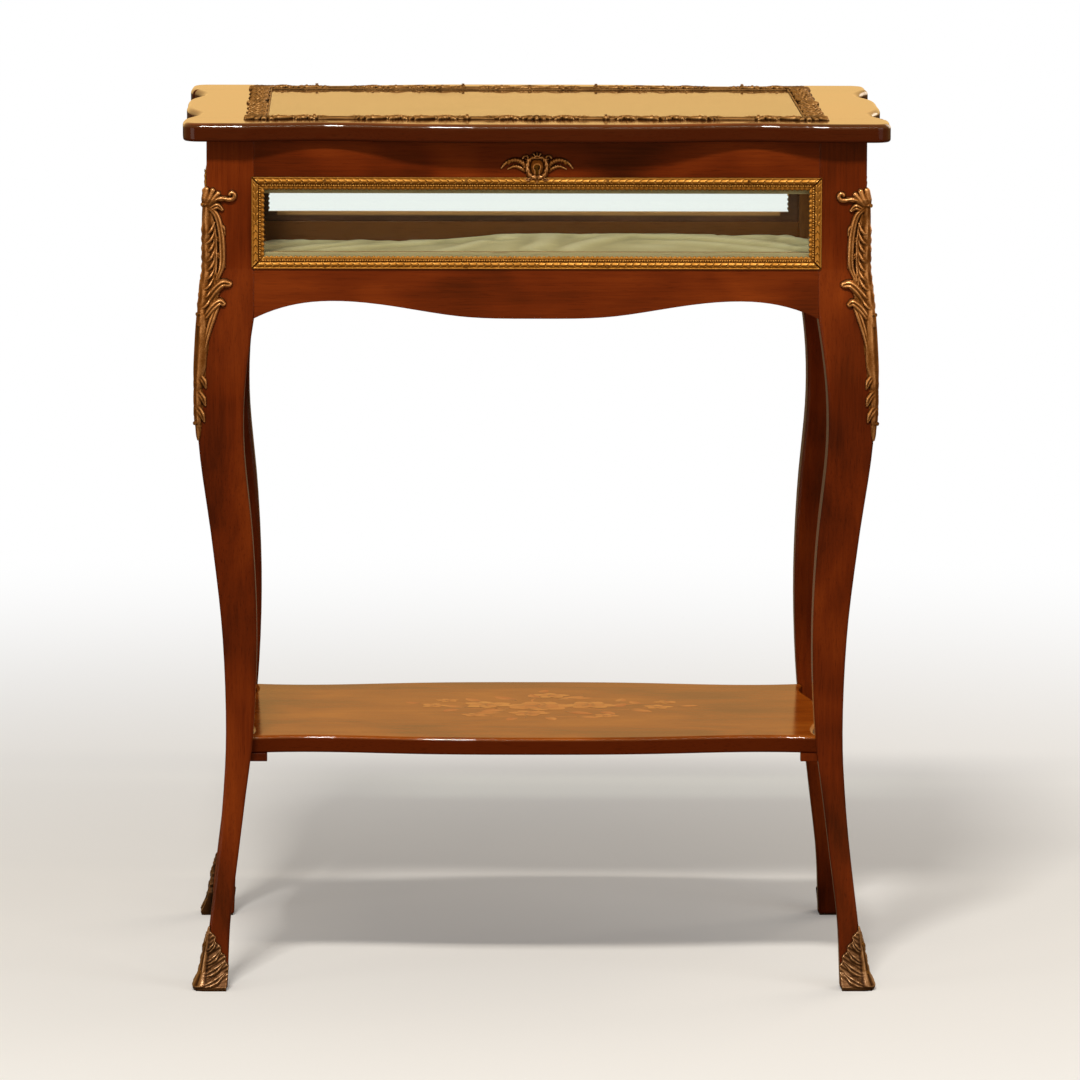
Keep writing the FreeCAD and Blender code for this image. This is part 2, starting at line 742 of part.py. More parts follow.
def lock_case():
    """Screwed plate with the bolt's box on it, slotted for the staples."""
    plate = box(-lock_plate_width / 2, lock_plate_width / 2, lock_box_y1, lock_y, lock_floor, lid_under)
    shell = box(-lock_width / 2, lock_width / 2, lock_box_y0, lock_box_y1, lock_floor, lid_under)
    whole = plate.fuse(shell).removeSplitter()
    cavity = box(-cavity_x, cavity_x, cavity_y0, cavity_y1, lock_floor + lock_wall, cavity_top)
    hollow = whole.cut(cavity)
    rest_top = bar_top - bolt_bar_height - bolt_side_gap
    for x0, x1 in ((-cavity_x, -cavity_x / 2), (cavity_x / 2, cavity_x)):
        hollow = hollow.fuse(box(x0, x1, cavity_y0, cavity_y1, rest_top - 2 * lock_wall, rest_top))
    slots = []
    for x in (-staple_place, staple_place):
        half_x = staple_thick / 2 + staple_gap
        half_y = staple_width / 2 + staple_gap
        slots.append(box(x - half_x, x + half_x, lock_middle_y - half_y, lock_middle_y + half_y,
                         cavity_top - 1, lid_under))
    slots.append(keyhole(lock_box_y0 - 1, cavity_y0 + 1))
    return whole, hollow.removeSplitter().cut(slots)


def lock_bolt():
    """Bar with a finger and a tongue for each staple, drawn back clear of both."""
    y0 = cavity_y0 + bolt_side_gap
    y1 = cavity_y1 - bolt_side_gap
    tips = [x - staple_thick / 2 - tip_gap for x in (-staple_place, staple_place)]
    start = tips[0] - tongue_reach - finger_thick
    bar = box(start, tips[1] + bolt_travel, y0, y1, bar_top - bolt_bar_height, bar_top)
    pieces = []
    for tip in tips:
        root = tip - tongue_reach
        pieces.append(box(root - finger_thick, root, y0, y1, bar_top, eye_middle + tongue_half))
        pieces.append(box(root, tip, lock_middle_y - tongue_half, lock_middle_y + tongue_half,
                          eye_middle - tongue_half, eye_middle + tongue_half))
    talon = box(-keyhole_radius, keyhole_radius, y0 - 1, y1 + 1,
                bar_top - bolt_bar_height - 1, bar_top - bolt_bar_height / 2)
    return bar.fuse(pieces).removeSplitter().cut(talon)


def link_plate():
    """Plate under the lid with two eyed staples that drop through the lock's slots."""
    plate_half = lock_width / 2
    plate = box(-plate_half, plate_half, lock_box_y0, lock_y, lid_under, lid_under + lock_plate_thick)
    whole = plate
    for x in (-staple_place, staple_place):
        half_x = staple_thick / 2
        half_stem = staple_width / 2
        half_eye = staple_eye_width / 2
        stem = box(x - half_x, x + half_x, lock_middle_y - half_stem, lock_middle_y + half_stem,
                   lid_under - staple_drop, lid_under)
        eye = box(x - half_x, x + half_x, lock_middle_y - half_eye, lock_middle_y + half_eye,
                  eye_low, eye_low + staple_eye_height)
        whole = whole.fuse(stem.cut(eye))
    return plate, whole.removeSplitter()


lock_whole, lock_hollow = lock_case()
link_recess, link_whole = link_plate()
lock_screws = []
for x in (-1, 1):
    for z in (lock_floor + lock_screw_inset, lid_under - lock_screw_inset):
        place = vec(x * (lock_plate_width + lock_width) / 4, lock_y, z)
        lock_screws.append(screw(place, vec(0, -1, 0), lock_screw))
link_screw_x = (staple_place + lock_width / 2) / 2
link_screws = [screw(vec(x, lock_middle_y, lid_under), vec(0, 0, 1), link_screw)
               for x in (-link_screw_x, link_screw_x)]
lock_holes = [body for whole, body in lock_screws]
link_holes = [body for whole, body in link_screws]

keep("lock_case", lock_hollow.cut(lock_holes))
keep("lock_bolt", lock_bolt())
keep("lock_link_plate", link_whole.cut(link_holes))
keep("lock_case_screws", Part.makeCompound([whole for whole, body in lock_screws]))
keep("lock_link_screws", Part.makeCompound([whole for whole, body in link_screws]))

# ---------------------------------------------------------------------------------------------
# Escutcheon on the front top rail
# ---------------------------------------------------------------------------------------------


def escutcheon_blank():
    """Oval boss between two curled wings; it lies over the moulding's upper strip."""
    face_y = -half_d
    boss = rod(escutcheon_boss_width / 2, vec(0, face_y, 0), vec(0, face_y - escutcheon_boss_thick, 0))
    stretch = FreeCAD.Matrix()
    stretch.scale(1, 1, escutcheon_boss_height / escutcheon_boss_width)
    boss = boss.transformGeometry(stretch)
    boss.translate(vec(0, 0, keyhole_z))
    upper = [vec(share * escutcheon_half_width, face_y, keyhole_z + rise) for share, rise in wing_upper]
    lower = [vec(share * escutcheon_half_width, face_y, keyhole_z + rise) for share, rise in wing_lower]
    wing = face_of([upper, [upper[-1], lower[0]], lower, [lower[-1], upper[0]]])
    wing = wing.extrude(vec(0, -escutcheon_wing_thick, 0))
    return boss.fuse(both_sides(wing, vec(1, 0, 0)).Solids).removeSplitter()


wing_pin_z = keyhole_z + (wing_upper[2][1] + wing_lower[1][1]) / 2
wing_pin_x = wing_upper[2][0] * escutcheon_half_width
escutcheon_pins = [pin(vec(x, -half_d - escutcheon_wing_thick, wing_pin_z), vec(0, 1, 0), escutcheon_wing_thick)
                   for x in (-wing_pin_x, wing_pin_x)]
escutcheon = escutcheon_blank().cut([parts["window_moulding_front"]] + frame_pins + escutcheon_pins)
key_passage = keyhole(-half_d - reach, lock_box_y0 + lock_wall)
keep("escutcheon", escutcheon.cut(key_passage))
keep("escutcheon_pins", Part.makeCompound(escutcheon_pins))

# ---------------------------------------------------------------------------------------------
# Shelf, its corner blocks and its screws
# ---------------------------------------------------------------------------------------------

shelf_middle = (shelf_top + shelf_bottom) / 2
shelf_corner_x = half_w + leg_inward(shelf_middle) + shelf_housing
shelf_corner_y = half_d + leg_inward(shelf_middle) + shelf_housing
shelf_front = (
    (0.0, shelf_corner_y + shelf_front_bow),
    (shelf_corner_x * shelf_shoulder, shelf_corner_y + shelf_front_bow / 2),
    (shelf_corner_x * shelf_hollow, shelf_corner_y - shelf_front_notch),
    (shelf_corner_x, shelf_corner_y),
)
shelf_side = (
    (0.0, shelf_corner_x + shelf_side_bow),
    (shelf_corner_y * shelf_shoulder, shelf_corner_x + shelf_side_bow / 2),
    (shelf_corner_y * shelf_hollow, shelf_corner_x - shelf_side_notch),
    (shelf_corner_y, shelf_corner_x),
)
shelf = rounded_plate(serpentine(shelf_front, shelf_side, 0), shelf_bottom, shelf_thick,
                      shelf_top_round, shelf_bottom_round)
leg = leg.cut(shelf)

# Each block fills the corner under the shelf; its inner corner is cut square to the screw.
block_x = shelf_corner_x - block_size
block_y = shelf_corner_y - block_size
block_z = shelf_bottom - block_height
block = ruled_block([vec(block_x + block_cut, block_y, block_z), vec(shelf_corner_x, block_y, block_z),
                     vec(shelf_corner_x, shelf_corner_y, block_z), vec(block_x, shelf_corner_y, block_z),
                     vec(block_x, block_y + block_cut, block_z)], vec(0, 0, block_height)).cut(leg)
screw_start = vec(block_x + block_cut / 2, block_y + block_cut / 2, block_z + block_height / 2)
shelf_screw_whole, shelf_screw_body = screw(screw_start, DIAGONAL, shelf_screw)
block = block.cut(shelf_screw_body)
leg = leg.cut(shelf_screw_body)

# ---------------------------------------------------------------------------------------------
# Corner mounts and sabots, made for the back right leg and mirrored to the others
# ---------------------------------------------------------------------------------------------


def corner_mount():
    """Skin on the leg's two outer faces beside the arris, from the window down over the knee."""
    top = frame_top - mount_shape[0][0]
    bottom = frame_top - mount_shape[-1][0]
    outer = []
    for z in spread(bottom, top, 12):
        share = (z - bottom) / (top - bottom)
        outer.append((leg_outward(z) + mount_tail_thick + (mount_thick - mount_tail_thick) * share, z))
    inner = [(leg_outward(frame_top - drop) - width, frame_top - drop) for drop, width in mount_shape]
    runs = [outer, [outer[-1], inner[0]]]
    runs += [[inner[i], inner[i + 1]] for i in range(len(inner) - 1)]
    runs.append([inner[-1], outer[0]])
    return square_post(runs)


def sabot():
    """Shoe: a sole under the foot, and a leaf that rises on the two outer faces to their arris."""
    outer = [(leg_outward(z) + smooth(sabot_shape, z), z) for z in spread(0.0, sabot_height, 9)]
    inner = [(leg_inward(z) + sabot_set_back, z) for z in spread(sabot_height, 0.0, 5)]
    shoe = square_post([outer, [outer[-1], inner[0]], inner, [inner[-1], outer[0]]])
    sole = shoe.common(box(0, reach, 0, reach, 0, sabot_sole))
    side = (leg_outward(sabot_side_height) + leg_inward(sabot_side_height)) / 2
    low = vec(half_w + side, half_d + side, sabot_side_height)
    high = vec(half_w + leg_outward(sabot_height), half_d + leg_outward(sabot_height), sabot_height)
    slope = (high - low).normalize() * stile_size
    across = vec(1, -1, 0).normalize() * stile_size
    lift = vec(0, 0, reach / 4)
    corners = [low - slope * 2, high + slope, high + slope + lift, low - slope * 2 + lift]
    above = ruled_block([p - across for p in corners], across * 2)
    return shoe.cut(above).fuse(sole).removeSplitter()


mount = corner_mount().cut(leg)
shoe = sabot().cut(leg)


def diagonal_pin(z, thick):
    """Pin driven into the leg's outer arris along the diagonal."""
    root = math.sqrt(2)
    out = leg_outward(z) + thick
    head = vec(half_w + out, half_d + out, z) - DIAGONAL * (thick * (root - 1))
    return pin(head, -DIAGONAL, thick, mount_pin_shank, mount_pin_head, mount_pin_bite)


mount_top = frame_top - mount_shape[0][0]
mount_bottom = frame_top - mount_shape[-1][0]
mount_pin_places = (
    (mount_top - mount_pin_inset, mount_thick),
    ((mount_top + mount_bottom) / 2, mount_thick),
    (mount_bottom + mount_pin_inset, mount_tail_thick),
)
mount_pins = [diagonal_pin(z, thick) for z, thick in mount_pin_places]
sabot_pins = [diagonal_pin(z, smooth(sabot_shape, z)) for z in sabot_pin_heights]
corner_pins = mount_pins + sabot_pins
mount = mount.cut(mount_pins)
shoe = shoe.cut(sabot_pins)
leg = leg.cut(corner_pins)

for y_name, y_side in SIDES_Y:
    for x_name, x_side in SIDES_X:
        corner = "%s_%s" % (y_name, x_name)
        keep("leg_" + corner, mirrored(leg, x_side, y_side).cut(frame_pins))
        keep("corner_mount_" + corner, mirrored(mount, x_side, y_side))
        keep("sabot_" + corner, mirrored(shoe, x_side, y_side))

CORNERS = [(x_side, y_side) for _, y_side in SIDES_Y for _, x_side in SIDES_X]
all_corner_pins = [mirrored(p, x, y) for x, y in CORNERS for p in corner_pins]
keep("mount_pins", Part.makeCompound(all_corner_pins + frame_pins))
keep("shelf", shelf)
keep("shelf_blocks", Part.makeCompound([mirrored(block, x, y) for x, y in CORNERS]))
keep("shelf_screws", Part.makeCompound([mirrored(shelf_screw_whole, x, y) for x, y in CORNERS]))

# ---------------------------------------------------------------------------------------------
# Case woodwork, floor and lining
# ---------------------------------------------------------------------------------------------

keep("top_rail_front", mirrored(rail_along, 1, -1).cut(
    [lock_whole, key_passage] + lock_holes + frame_pins + escutcheon_pins))
hinge_recesses = [h["case_recess"] for h in hinges.values()]
hinge_holes = [hole for h in hinges.values() for hole in h["case_holes"]]
keep("top_rail_back", rail_along.cut(hinge_recesses + hinge_holes + frame_pins))
keep("top_rail_right", rail_across.cut(frame_pins))
keep("top_rail_left", mirrored(rail_across, -1, 1).cut(frame_pins))
keep("apron_front", mirrored(apron_along, 1, -1).cut(frame_pins))
keep("apron_back", apron_along.cut(frame_pins))
keep("apron_right", apron_across.cut(frame_pins))
keep("apron_left", mirrored(apron_across, -1, 1).cut(frame_pins))
keep("case_floor", floor_board)

lining_z = floor_top + soft_gap
lining = box(-rail_x + soft_gap, rail_x - soft_gap, -stile_y + soft_gap, stile_y - soft_gap,
             lining_z, lining_z + lining_thick)
lining = lining.fuse(box(-stile_x + soft_gap, stile_x - soft_gap, -rail_y + soft_gap, rail_y - soft_gap,
                         lining_z, lining_z + lining_thick)).removeSplitter()
keep("lining_pad", lining)

# ---------------------------------------------------------------------------------------------
# Lid pieces with their recesses
# ---------------------------------------------------------------------------------------------

lid_back_cuts = []
for hinge in hinges.values():
    lid_back_cuts += [hinge["groove"], hinge["lid_recess"]] + hinge["lid_holes"]
keep("lid_rail_back", lid_rail_back.cut(lid_back_cuts + border_pins))
keep("lid_rail_front", lid_rail_front.cut([link_recess] + link_holes + border_pins))
keep("lid_stile_left", lid_stile_left.cut(border_pins))
keep("lid_stile_right", lid_stile_right.cut(border_pins))
keep("lid_glass", lid_glass)
keep("lid_border", Part.makeCompound(border_strips).cut(border_pins))
keep("lid_border_pins", Part.makeCompound(border_pins))

# ---------------------------------------------------------------------------------------------
# One STEP file for each sub-part
# ---------------------------------------------------------------------------------------------

for name, shape in sorted(parts.items()):
    solids = shape.Solids
    assert solids, name + " has no solid"
    for solid in solids:
        assert solid.isValid() and solid.isClosed() and solid.Volume > 0, name + " isn't a sound solid"
    shape = solids[0] if len(solids) == 1 else Part.makeCompound(solids)
    shape.exportStep("parts/%s.step" % name)
    print("%-28s %3d solids %12.1f mm3" % (name, len(solids), sum(s.Volume for s in solids)))
print(len(parts), "sub-parts")
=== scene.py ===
# %% [markdown]
# # Glazed display table
#
# The real object is a small table whose top is a shallow glass case. Four curved legs, the rails
# and the lid are veneered wood under a hand-rubbed polish. Cast and gilded metal covers the
# corners, the windows and the lid's glass, and pale satin lines the case.
#
# The solid parts are already built to size, so this script loads them and gives them their looks.
# The plain metal blanks and the plain lining are replaced by detailed pieces of the same size.

import math

import bpy
import numpy as np
from mathutils import Matrix, Vector


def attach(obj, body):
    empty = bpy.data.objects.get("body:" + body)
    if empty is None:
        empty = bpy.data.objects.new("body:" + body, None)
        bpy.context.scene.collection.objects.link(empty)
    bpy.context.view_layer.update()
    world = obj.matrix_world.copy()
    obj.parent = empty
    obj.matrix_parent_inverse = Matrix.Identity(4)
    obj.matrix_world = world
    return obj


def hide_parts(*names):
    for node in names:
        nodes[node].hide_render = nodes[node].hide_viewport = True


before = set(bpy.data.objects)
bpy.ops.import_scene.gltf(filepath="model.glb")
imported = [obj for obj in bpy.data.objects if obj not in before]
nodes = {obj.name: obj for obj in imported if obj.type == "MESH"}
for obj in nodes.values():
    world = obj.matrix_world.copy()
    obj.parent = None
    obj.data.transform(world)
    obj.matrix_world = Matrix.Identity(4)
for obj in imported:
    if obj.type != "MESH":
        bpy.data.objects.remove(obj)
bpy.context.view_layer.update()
MM = 0.001

# %% [markdown]
# ## Floor, light and camera
#
# A piece of furniture is shown on a pale floor that keeps a soft shadow, so that its feet look
# planted. The main lamp stands high in front, so that the lid throws its wavy shadow on the rail
# below it. A long, weak strip beside it is mirrored in every rounded edge and draws a line of light
# there. The lamps at both sides open the shadows round the legs, and the one behind catches the
# edges that turn away.
#
# The background could be a wall, but a wall gets dark corners. A white world that only the camera
# sees is simpler, and it doesn't add light to the wood. Polish, glass and metal need a room to
# mirror, so reflections see a warm cream wall instead, which keeps the red in the wood.

# %% White background
def put(tree, kind, wires=None, **settings):
    """Adds a shader node; wires fills its sockets with numbers or with other nodes' outputs."""
    node = tree.nodes.new("ShaderNode" + kind)
    for name, value in settings.items():
        setattr(node, name, value)
    for socket, value in (wires or {}).items():
        if isinstance(value, bpy.types.NodeSocket):
            tree.links.new(value, node.inputs[socket])
        else:
            node.inputs[socket].default_value = value
    return node


def maths(tree, operation, first, second=0.5):
    """One calculation on shader values."""
    return put(tree, "Math", {0: first, 1: second}, operation=operation).outputs[0]


def blend_shaders(tree, share, first, second):
    """Two shaders mixed; share is how much of the second there is."""
    return put(tree, "MixShader", {0: share, 1: first, 2: second}).outputs[0]


def seen_directly(tree):
    """1 for what the camera looks at, through glass or not, and 0 for light that only falls."""
    ray = put(tree, "LightPath").outputs
    not_mirrored = maths(tree, "LESS_THAN", ray["Glossy Depth"], 0.5)
    through_glass = maths(tree, "MULTIPLY", ray["Is Transmission Ray"], not_mirrored)
    return maths(tree, "MAXIMUM", ray["Is Camera Ray"], through_glass)


ROOM_LIGHT, WHITE, CREAM = (1.0, 0.97, 0.92, 1), (1, 1, 1, 1), (0.97, 0.59, 0.21, 1)
room = bpy.data.worlds.new("studio_room")
bpy.context.scene.world = room
room.use_nodes = True
tree = room.node_tree
tree.nodes.clear()
room_light, white_wall, cream_wall = [
    put(tree, "Background", {"Color": colour, "Strength": strength}).outputs[0]
    for colour, strength in ((ROOM_LIGHT, 0.22), (WHITE, 1.0), (CREAM, 1.0))]
room_seen = blend_shaders(tree, seen_directly(tree), room_light, white_wall)
mirrored_ray = put(tree, "LightPath").outputs["Is Glossy Ray"]
put(tree, "OutputWorld", {"Surface": blend_shaders(tree, mirrored_ray, room_seen, cream_wall)})
bpy.context.scene.view_settings.view_transform = "Standard"
print("world ready:", room.name)

# %% Lamps
def lamp(name, place, target, width, height, watts, tint=(1, 1, 1)):
    """A soft rectangular lamp that faces a target."""
    light = bpy.data.lights.new(name, "AREA")
    light.shape = "RECTANGLE"
    light.size, light.size_y, light.energy, light.color = width, height, watts, tint
    holder = bpy.data.objects.new(name, light)
    bpy.context.scene.collection.objects.link(holder)
    holder.location = place
    holder.rotation_euler = (Vector(target) - Vector(place)).to_track_quat("-Z", "Y").to_euler()


UPPER_AIM, MIDDLE_AIM, LOWER_AIM = (0, 0, 0.45), (0, 0, 0.4), (0, 0, 0.35)
lamp("key", (-0.64, -3.68, 4.37), UPPER_AIM, 0.8, 0.56, 180, (1.0, 0.97, 0.92))
lamp("strip", (-0.2, -3.7, 4.2), UPPER_AIM, 5.0, 0.14, 56, (1.0, 0.88, 0.72))
lamp("fill", (1.9, -1.7, 1.2), MIDDLE_AIM, 1.4, 1.4, 11)
lamp("back_edge", (1.8, 1.7, 1.5), MIDDLE_AIM, 1.6, 1.6, 14, (1.0, 0.88, 0.76))
lamp("left_fill", (-2.1, -1.5, 0.6), LOWER_AIM, 1.0, 0.8, 9, (1.0, 0.94, 0.86))
print("lamps:", len(bpy.data.lights))

# %% [markdown]
# The camera stands about seven metres away behind a long lens, a little above the lid, so that
# upright lines stay upright and the lid shows as a thin slice of its top. The numbers below are
# its place in metres, how far it turns, dips and tilts in radians, and the focal length in
# millimetres. A matrix built from its own three directions avoids any doubt about the order of
# rotations.

# %% Camera
SENSOR_MM, SEES_AS_FAR_AS = 36.0, 100.0


def camera_at(place, turn, dip, tilt, lens):
    """Camera whose axes come straight from its three angles in radians."""
    right = np.array([math.cos(turn), math.sin(turn), 0])
    ahead = np.array([-math.sin(turn) * math.cos(dip), math.cos(turn) * math.cos(dip),
                      -math.sin(dip)])
    up = np.cross(right, ahead)
    side = right * math.cos(tilt) + up * math.sin(tilt)
    top = up * math.cos(tilt) - right * math.sin(tilt)
    eye = bpy.data.cameras.new("camera")
    eye.lens, eye.sensor_width, eye.clip_end = lens, SENSOR_MM, SEES_AS_FAR_AS
    holder = bpy.data.objects.new("camera", eye)
    bpy.context.scene.collection.objects.link(holder)
    matrix = np.eye(4)
    matrix[:3, 0], matrix[:3, 1], matrix[:3, 2], matrix[:3, 3] = side, top, -ahead, place
    holder.matrix_world = Matrix(matrix.tolist())
    bpy.context.scene.camera = holder


camera_at((-0.1445, -7.24683, 1.38046), turn=-0.02099, dip=0.13842, tilt=0.0037, lens=273.88)
print("camera lens in mm:", round(bpy.context.scene.camera.data.lens, 1))

# %% [markdown]
# The floor is one wide plane. Round the table it is a plain pale surface that takes the shadow.
# Further out it fades into the same white as the background, so that no horizon cuts the picture.
# The fade depends on the distance from the table, so it is the same from every side. Light that
# bounces off it meets a brown like that of floor boards, or the white would wash out the rails.

# %% Colours and finishes
def paint(red, green, blue):
    """A colour in everyday 0-255 values, turned into the linear values that shaders use."""
    linear = []
    for value in (red / 255, green / 255, blue / 255):
        linear.append(value / 12.92 if value <= 0.04045 else ((value + 0.055) / 1.055) ** 2.4)
    return (*linear, 1.0)


def new_finish(name):
    """A material with its node tree and its main shader."""
    finish = bpy.data.materials.new(name)
    finish.use_nodes = True
    return finish, finish.node_tree, finish.node_tree.nodes["Principled BSDF"]


def wire(tree, shader, **values):
    """Sets the main shader's sockets; an underscore in a name stands for a space."""
    for name, value in values.items():
        socket = shader.inputs[name.replace("_", " ")]
        if isinstance(value, bpy.types.NodeSocket):
            tree.links.new(value, socket)
        else:
            socket.default_value = value


def here(tree):
    """The object's own coordinates in metres."""
    return put(tree, "TexCoord").outputs["Object"]


def mixed(tree, share, first, second, blend="MIX"):
    """Two colours mixed; share is how much of the second there is."""
    return put(tree, "MixRGB", {"Fac": share, "Color1": first, "Color2": second},
               blend_type=blend).outputs["Color"]


def rescale(tree, value, old=(0.0, 1.0), new=(0.0, 1.0), curve="LINEAR"):
    """Carries a value from one range to another and keeps it there."""
    return put(tree, "MapRange", {"Value": value, "From Min": old[0], "From Max": old[1],
                                  "To Min": new[0], "To Max": new[1]},
               interpolation_type=curve).outputs[0]


print("finish tools ready; white is", paint(255, 255, 255))

# %% Floor
FLOOR_CORNERS = [(-6, -8, 0), (6, -8, 0), (6, 14, 0), (-6, 14, 0)]
FADE_STARTS, FADE_ENDS, LEAST_WHITE = 0.45, 2.6, 0.12
floor_mesh = bpy.data.meshes.new("floor")
floor_mesh.from_pydata(FLOOR_CORNERS, [], [(0, 1, 2, 3)])
floor = bpy.data.objects.new("floor", floor_mesh)
bpy.context.scene.collection.objects.link(floor)
floor_finish, tree, shader = new_finish("pale_floor")
looked_at = seen_directly(tree)
boards = mixed(tree, looked_at, paint(152, 132, 104), paint(240, 238, 234))
wire(tree, shader, Base_Color=boards, Roughness=0.9, Specular_IOR_Level=0.1)
distance = put(tree, "VectorMath", {0: here(tree)}, operation="LENGTH").outputs["Value"]
far = rescale(tree, distance, (FADE_STARTS, FADE_ENDS), (LEAST_WHITE, 1.0), "SMOOTHSTEP")
fade = maths(tree, "MULTIPLY", far, looked_at)
white = put(tree, "Emission", {"Color": WHITE, "Strength": 1.0}).outputs[0]
faded = blend_shaders(tree, fade, shader.outputs["BSDF"], white)
tree.links.new(faded, tree.nodes["Material Output"].inputs["Surface"])
floor_mesh.materials.append(floor_finish)
print("floor fades to white from", FADE_STARTS, "to", FADE_ENDS, "metres")

# %% [markdown]
# ## Polished veneer
#
# Veneer is a thin sheet of fine wood glued to a plain core, here a dark red-brown one under shellac
# rubbed up to a deep shine. Four things make it read as wood: cloudy patches, bands of tone, thin
# fibres and short open pores, all stretched along the grain. An image of wood would give them too,
# but it would stretch round the curved legs.
#
# Noise in the object's own coordinates runs through the wood like real grain, so one recipe serves
# every piece, with the stretch turned to the direction in which that piece was cut. A bevel node
# rounds the light on sharp arrises, as years of polishing do.
#
# Lid and shelf were rubbed the most, and a second clear coat stands for that. On the lid's flat top
# it mirrors the room at a slant and hardly from above. On the long edges of both it is what carries
# the line of light.

# %% Tools for grain and colour
def grained(tree, grain, along, across):
    """Object coordinates squeezed across the grain, which turns round noise into streaks."""
    scale = [across] * 3
    scale["xyz".index(grain)] = along
    return put(tree, "Mapping", {"Vector": here(tree), "Scale": scale}).outputs["Vector"]


def noise(tree, where, scale, detail=2.0, twist=0.0):
    """Soft random values between 0 and 1."""
    return put(tree, "TexNoise", {"Vector": where, "Scale": scale, "Detail": detail,
                                  "Distortion": twist}).outputs["Fac"]


def sums(tree, *parts):
    """Weighted sum of (value, weight) pairs."""
    total = None
    for value, weight in parts:
        share = maths(tree, "MULTIPLY", value, weight)
        total = share if total is None else maths(tree, "ADD", total, share)
    return total


def ramp(tree, factor, *stops):
    """Colours blended between (place, colour) stops."""
    node = put(tree, "ValToRGB", {"Fac": factor})
    for i, (place, colour) in enumerate(stops):
        stop = node.color_ramp.elements[i] if i < 2 else node.color_ramp.elements.new(place)
        stop.position, stop.color = place, colour
    return node.outputs["Color"]


print("grain tools: grained, noise, sums, ramp")


# %% Tools for surfaces and zones
def bumped(tree, height, strength, distance, normal=None):
    """The surface direction, tilted by small heights."""
    wires = {"Strength": strength, "Distance": distance, "Height": height}
    if normal is not None:
        wires["Normal"] = normal
    return put(tree, "Bump", wires).outputs["Normal"]


def soft_arris(tree, radius):
    """The surface direction, rounded at sharp edges."""
    return put(tree, "Bevel", {"Radius": radius}, samples=4).outputs["Normal"]


def inside_box(tree, low, high, blur=0.0008):
    """1 inside a box given in millimetres, 0 outside, from the object's own coordinates."""
    place = put(tree, "SeparateXYZ", {"Vector": here(tree)}).outputs
    inside = None
    for axis, (start, end) in enumerate(zip(low, high)):
        off = maths(tree, "SUBTRACT", place[axis], (start + end) / 2 * MM)
        half = (end - start) / 2 * MM
        share = rescale(tree, maths(tree, "ABSOLUTE", off), (half - blur, half + blur), (1.0, 0.0))
        inside = share if inside is None else maths(tree, "MULTIPLY", inside, share)
    return inside


def edge_coat(tree, flat_weight):
    """Weight of the second coat: full on edges that face front or back, less on flat faces."""
    facing = put(tree, "SeparateXYZ", {"Vector": put(tree, "TexCoord").outputs["Normal"]}).outputs
    upward = rescale(tree, facing[2], (0.1, 0.35))
    on_edge = rescale(tree, maths(tree, "ABSOLUTE", facing[1]), (0.17, 0.37), (flat_weight, 1.0))
    return maths(tree, "MULTIPLY", upward, on_edge)


print("surface tools: bumped, soft_arris, inside_box, edge_coat")


# %% Wood recipe
def wood(name, grain, dark, middle, light, rough=(0.12, 0.24), index=1.2, coat=None, edge=0.0009,
         zones=()):
    """Wood finish whose grain runs along one axis.

    coat is the weight of a second clear coat on flat faces, edge the radius of rounded arrises in
    metres, and zones are boxes where the wood takes another tone.
    """
    finish, tree, shader = new_finish(name)
    bands = noise(tree, grained(tree, grain, 2.0, 34), 1.0, 3.0, 0.7)
    fibres = noise(tree, grained(tree, grain, 13, 420), 1.0, 4.0)
    clouds = noise(tree, grained(tree, grain, 9, 15), 1.0, 2.0, 0.4)
    tone = sums(tree, (bands, 0.22), (fibres, 0.16), (clouds, 0.62))
    pores = noise(tree, grained(tree, grain, 55, 1700), 1.0, 2.0)
    pore_dark = ramp(tree, pores, (0.32, (0.62, 0.55, 0.5, 1)), (0.42, WHITE))
    colour = ramp(tree, tone, (0.34, dark), (0.5, middle), (0.68, light))
    colour = mixed(tree, 0.8, colour, pore_dark, "MULTIPLY")
    for low, high, zone_colour in zones:
        other = mixed(tree, 0.8, zone_colour, pore_dark, "MULTIPLY")
        colour = mixed(tree, inside_box(tree, low, high), colour, other)
    polish = rescale(tree, clouds, new=rough)
    height = sums(tree, (pores, 0.5), (fibres, 0.5))
    surface = bumped(tree, height, 0.12, 0.0003, soft_arris(tree, edge))
    wire(tree, shader, Base_Color=colour, Roughness=polish, IOR=index, Normal=surface)
    if coat is not None:
        wire(tree, shader, Coat_Weight=edge_coat(tree, coat), Coat_Roughness=0.05, Coat_IOR=1.4,
             Coat_Normal=surface)
    return finish


def dress(finish, *names):
    """Puts a finish on solid pieces that keep their own shape."""
    for name in names:
        nodes[name].data.materials.clear()
        nodes[name].data.materials.append(finish)


print("wood recipe ready")

# %% Veneers
# Zones are two corners in millimetres and a colour.
CASE_INSIDE = ((-272, -171, 600), (272, 171, 744), paint(91, 56, 28))
LID_EDGE = ((-310, -215, 740), (310, 215, 758.6), paint(68, 23, 5))
SHELF_EDGE = ((-300, -200, 190), (300, 200, 216), paint(84, 30, 6))
RED = (paint(58, 17, 3), paint(97, 34, 6), paint(126, 52, 12))
SHELF_BROWN = (paint(110, 46, 8), paint(146, 69, 14), paint(171, 92, 24))
veneer = {grain: wood("veneer_" + grain, grain, *RED, edge=0.0025 if grain == "z" else 0.0009,
                      zones=[CASE_INSIDE]) for grain in "xyz"}
lid_veneer = {grain: wood("lid_veneer_" + grain, grain, *RED, rough=(0.06, 0.12), coat=1.0,
                          zones=[LID_EDGE]) for grain in "xy"}
shelf_veneer = wood("shelf_veneer", "x", *SHELF_BROWN, index=1.1, rough=(0.08, 0.16), coat=0.0,
                    edge=0.0016, zones=[SHELF_EDGE])
print("veneers:", len(veneer) + len(lid_veneer) + 1)

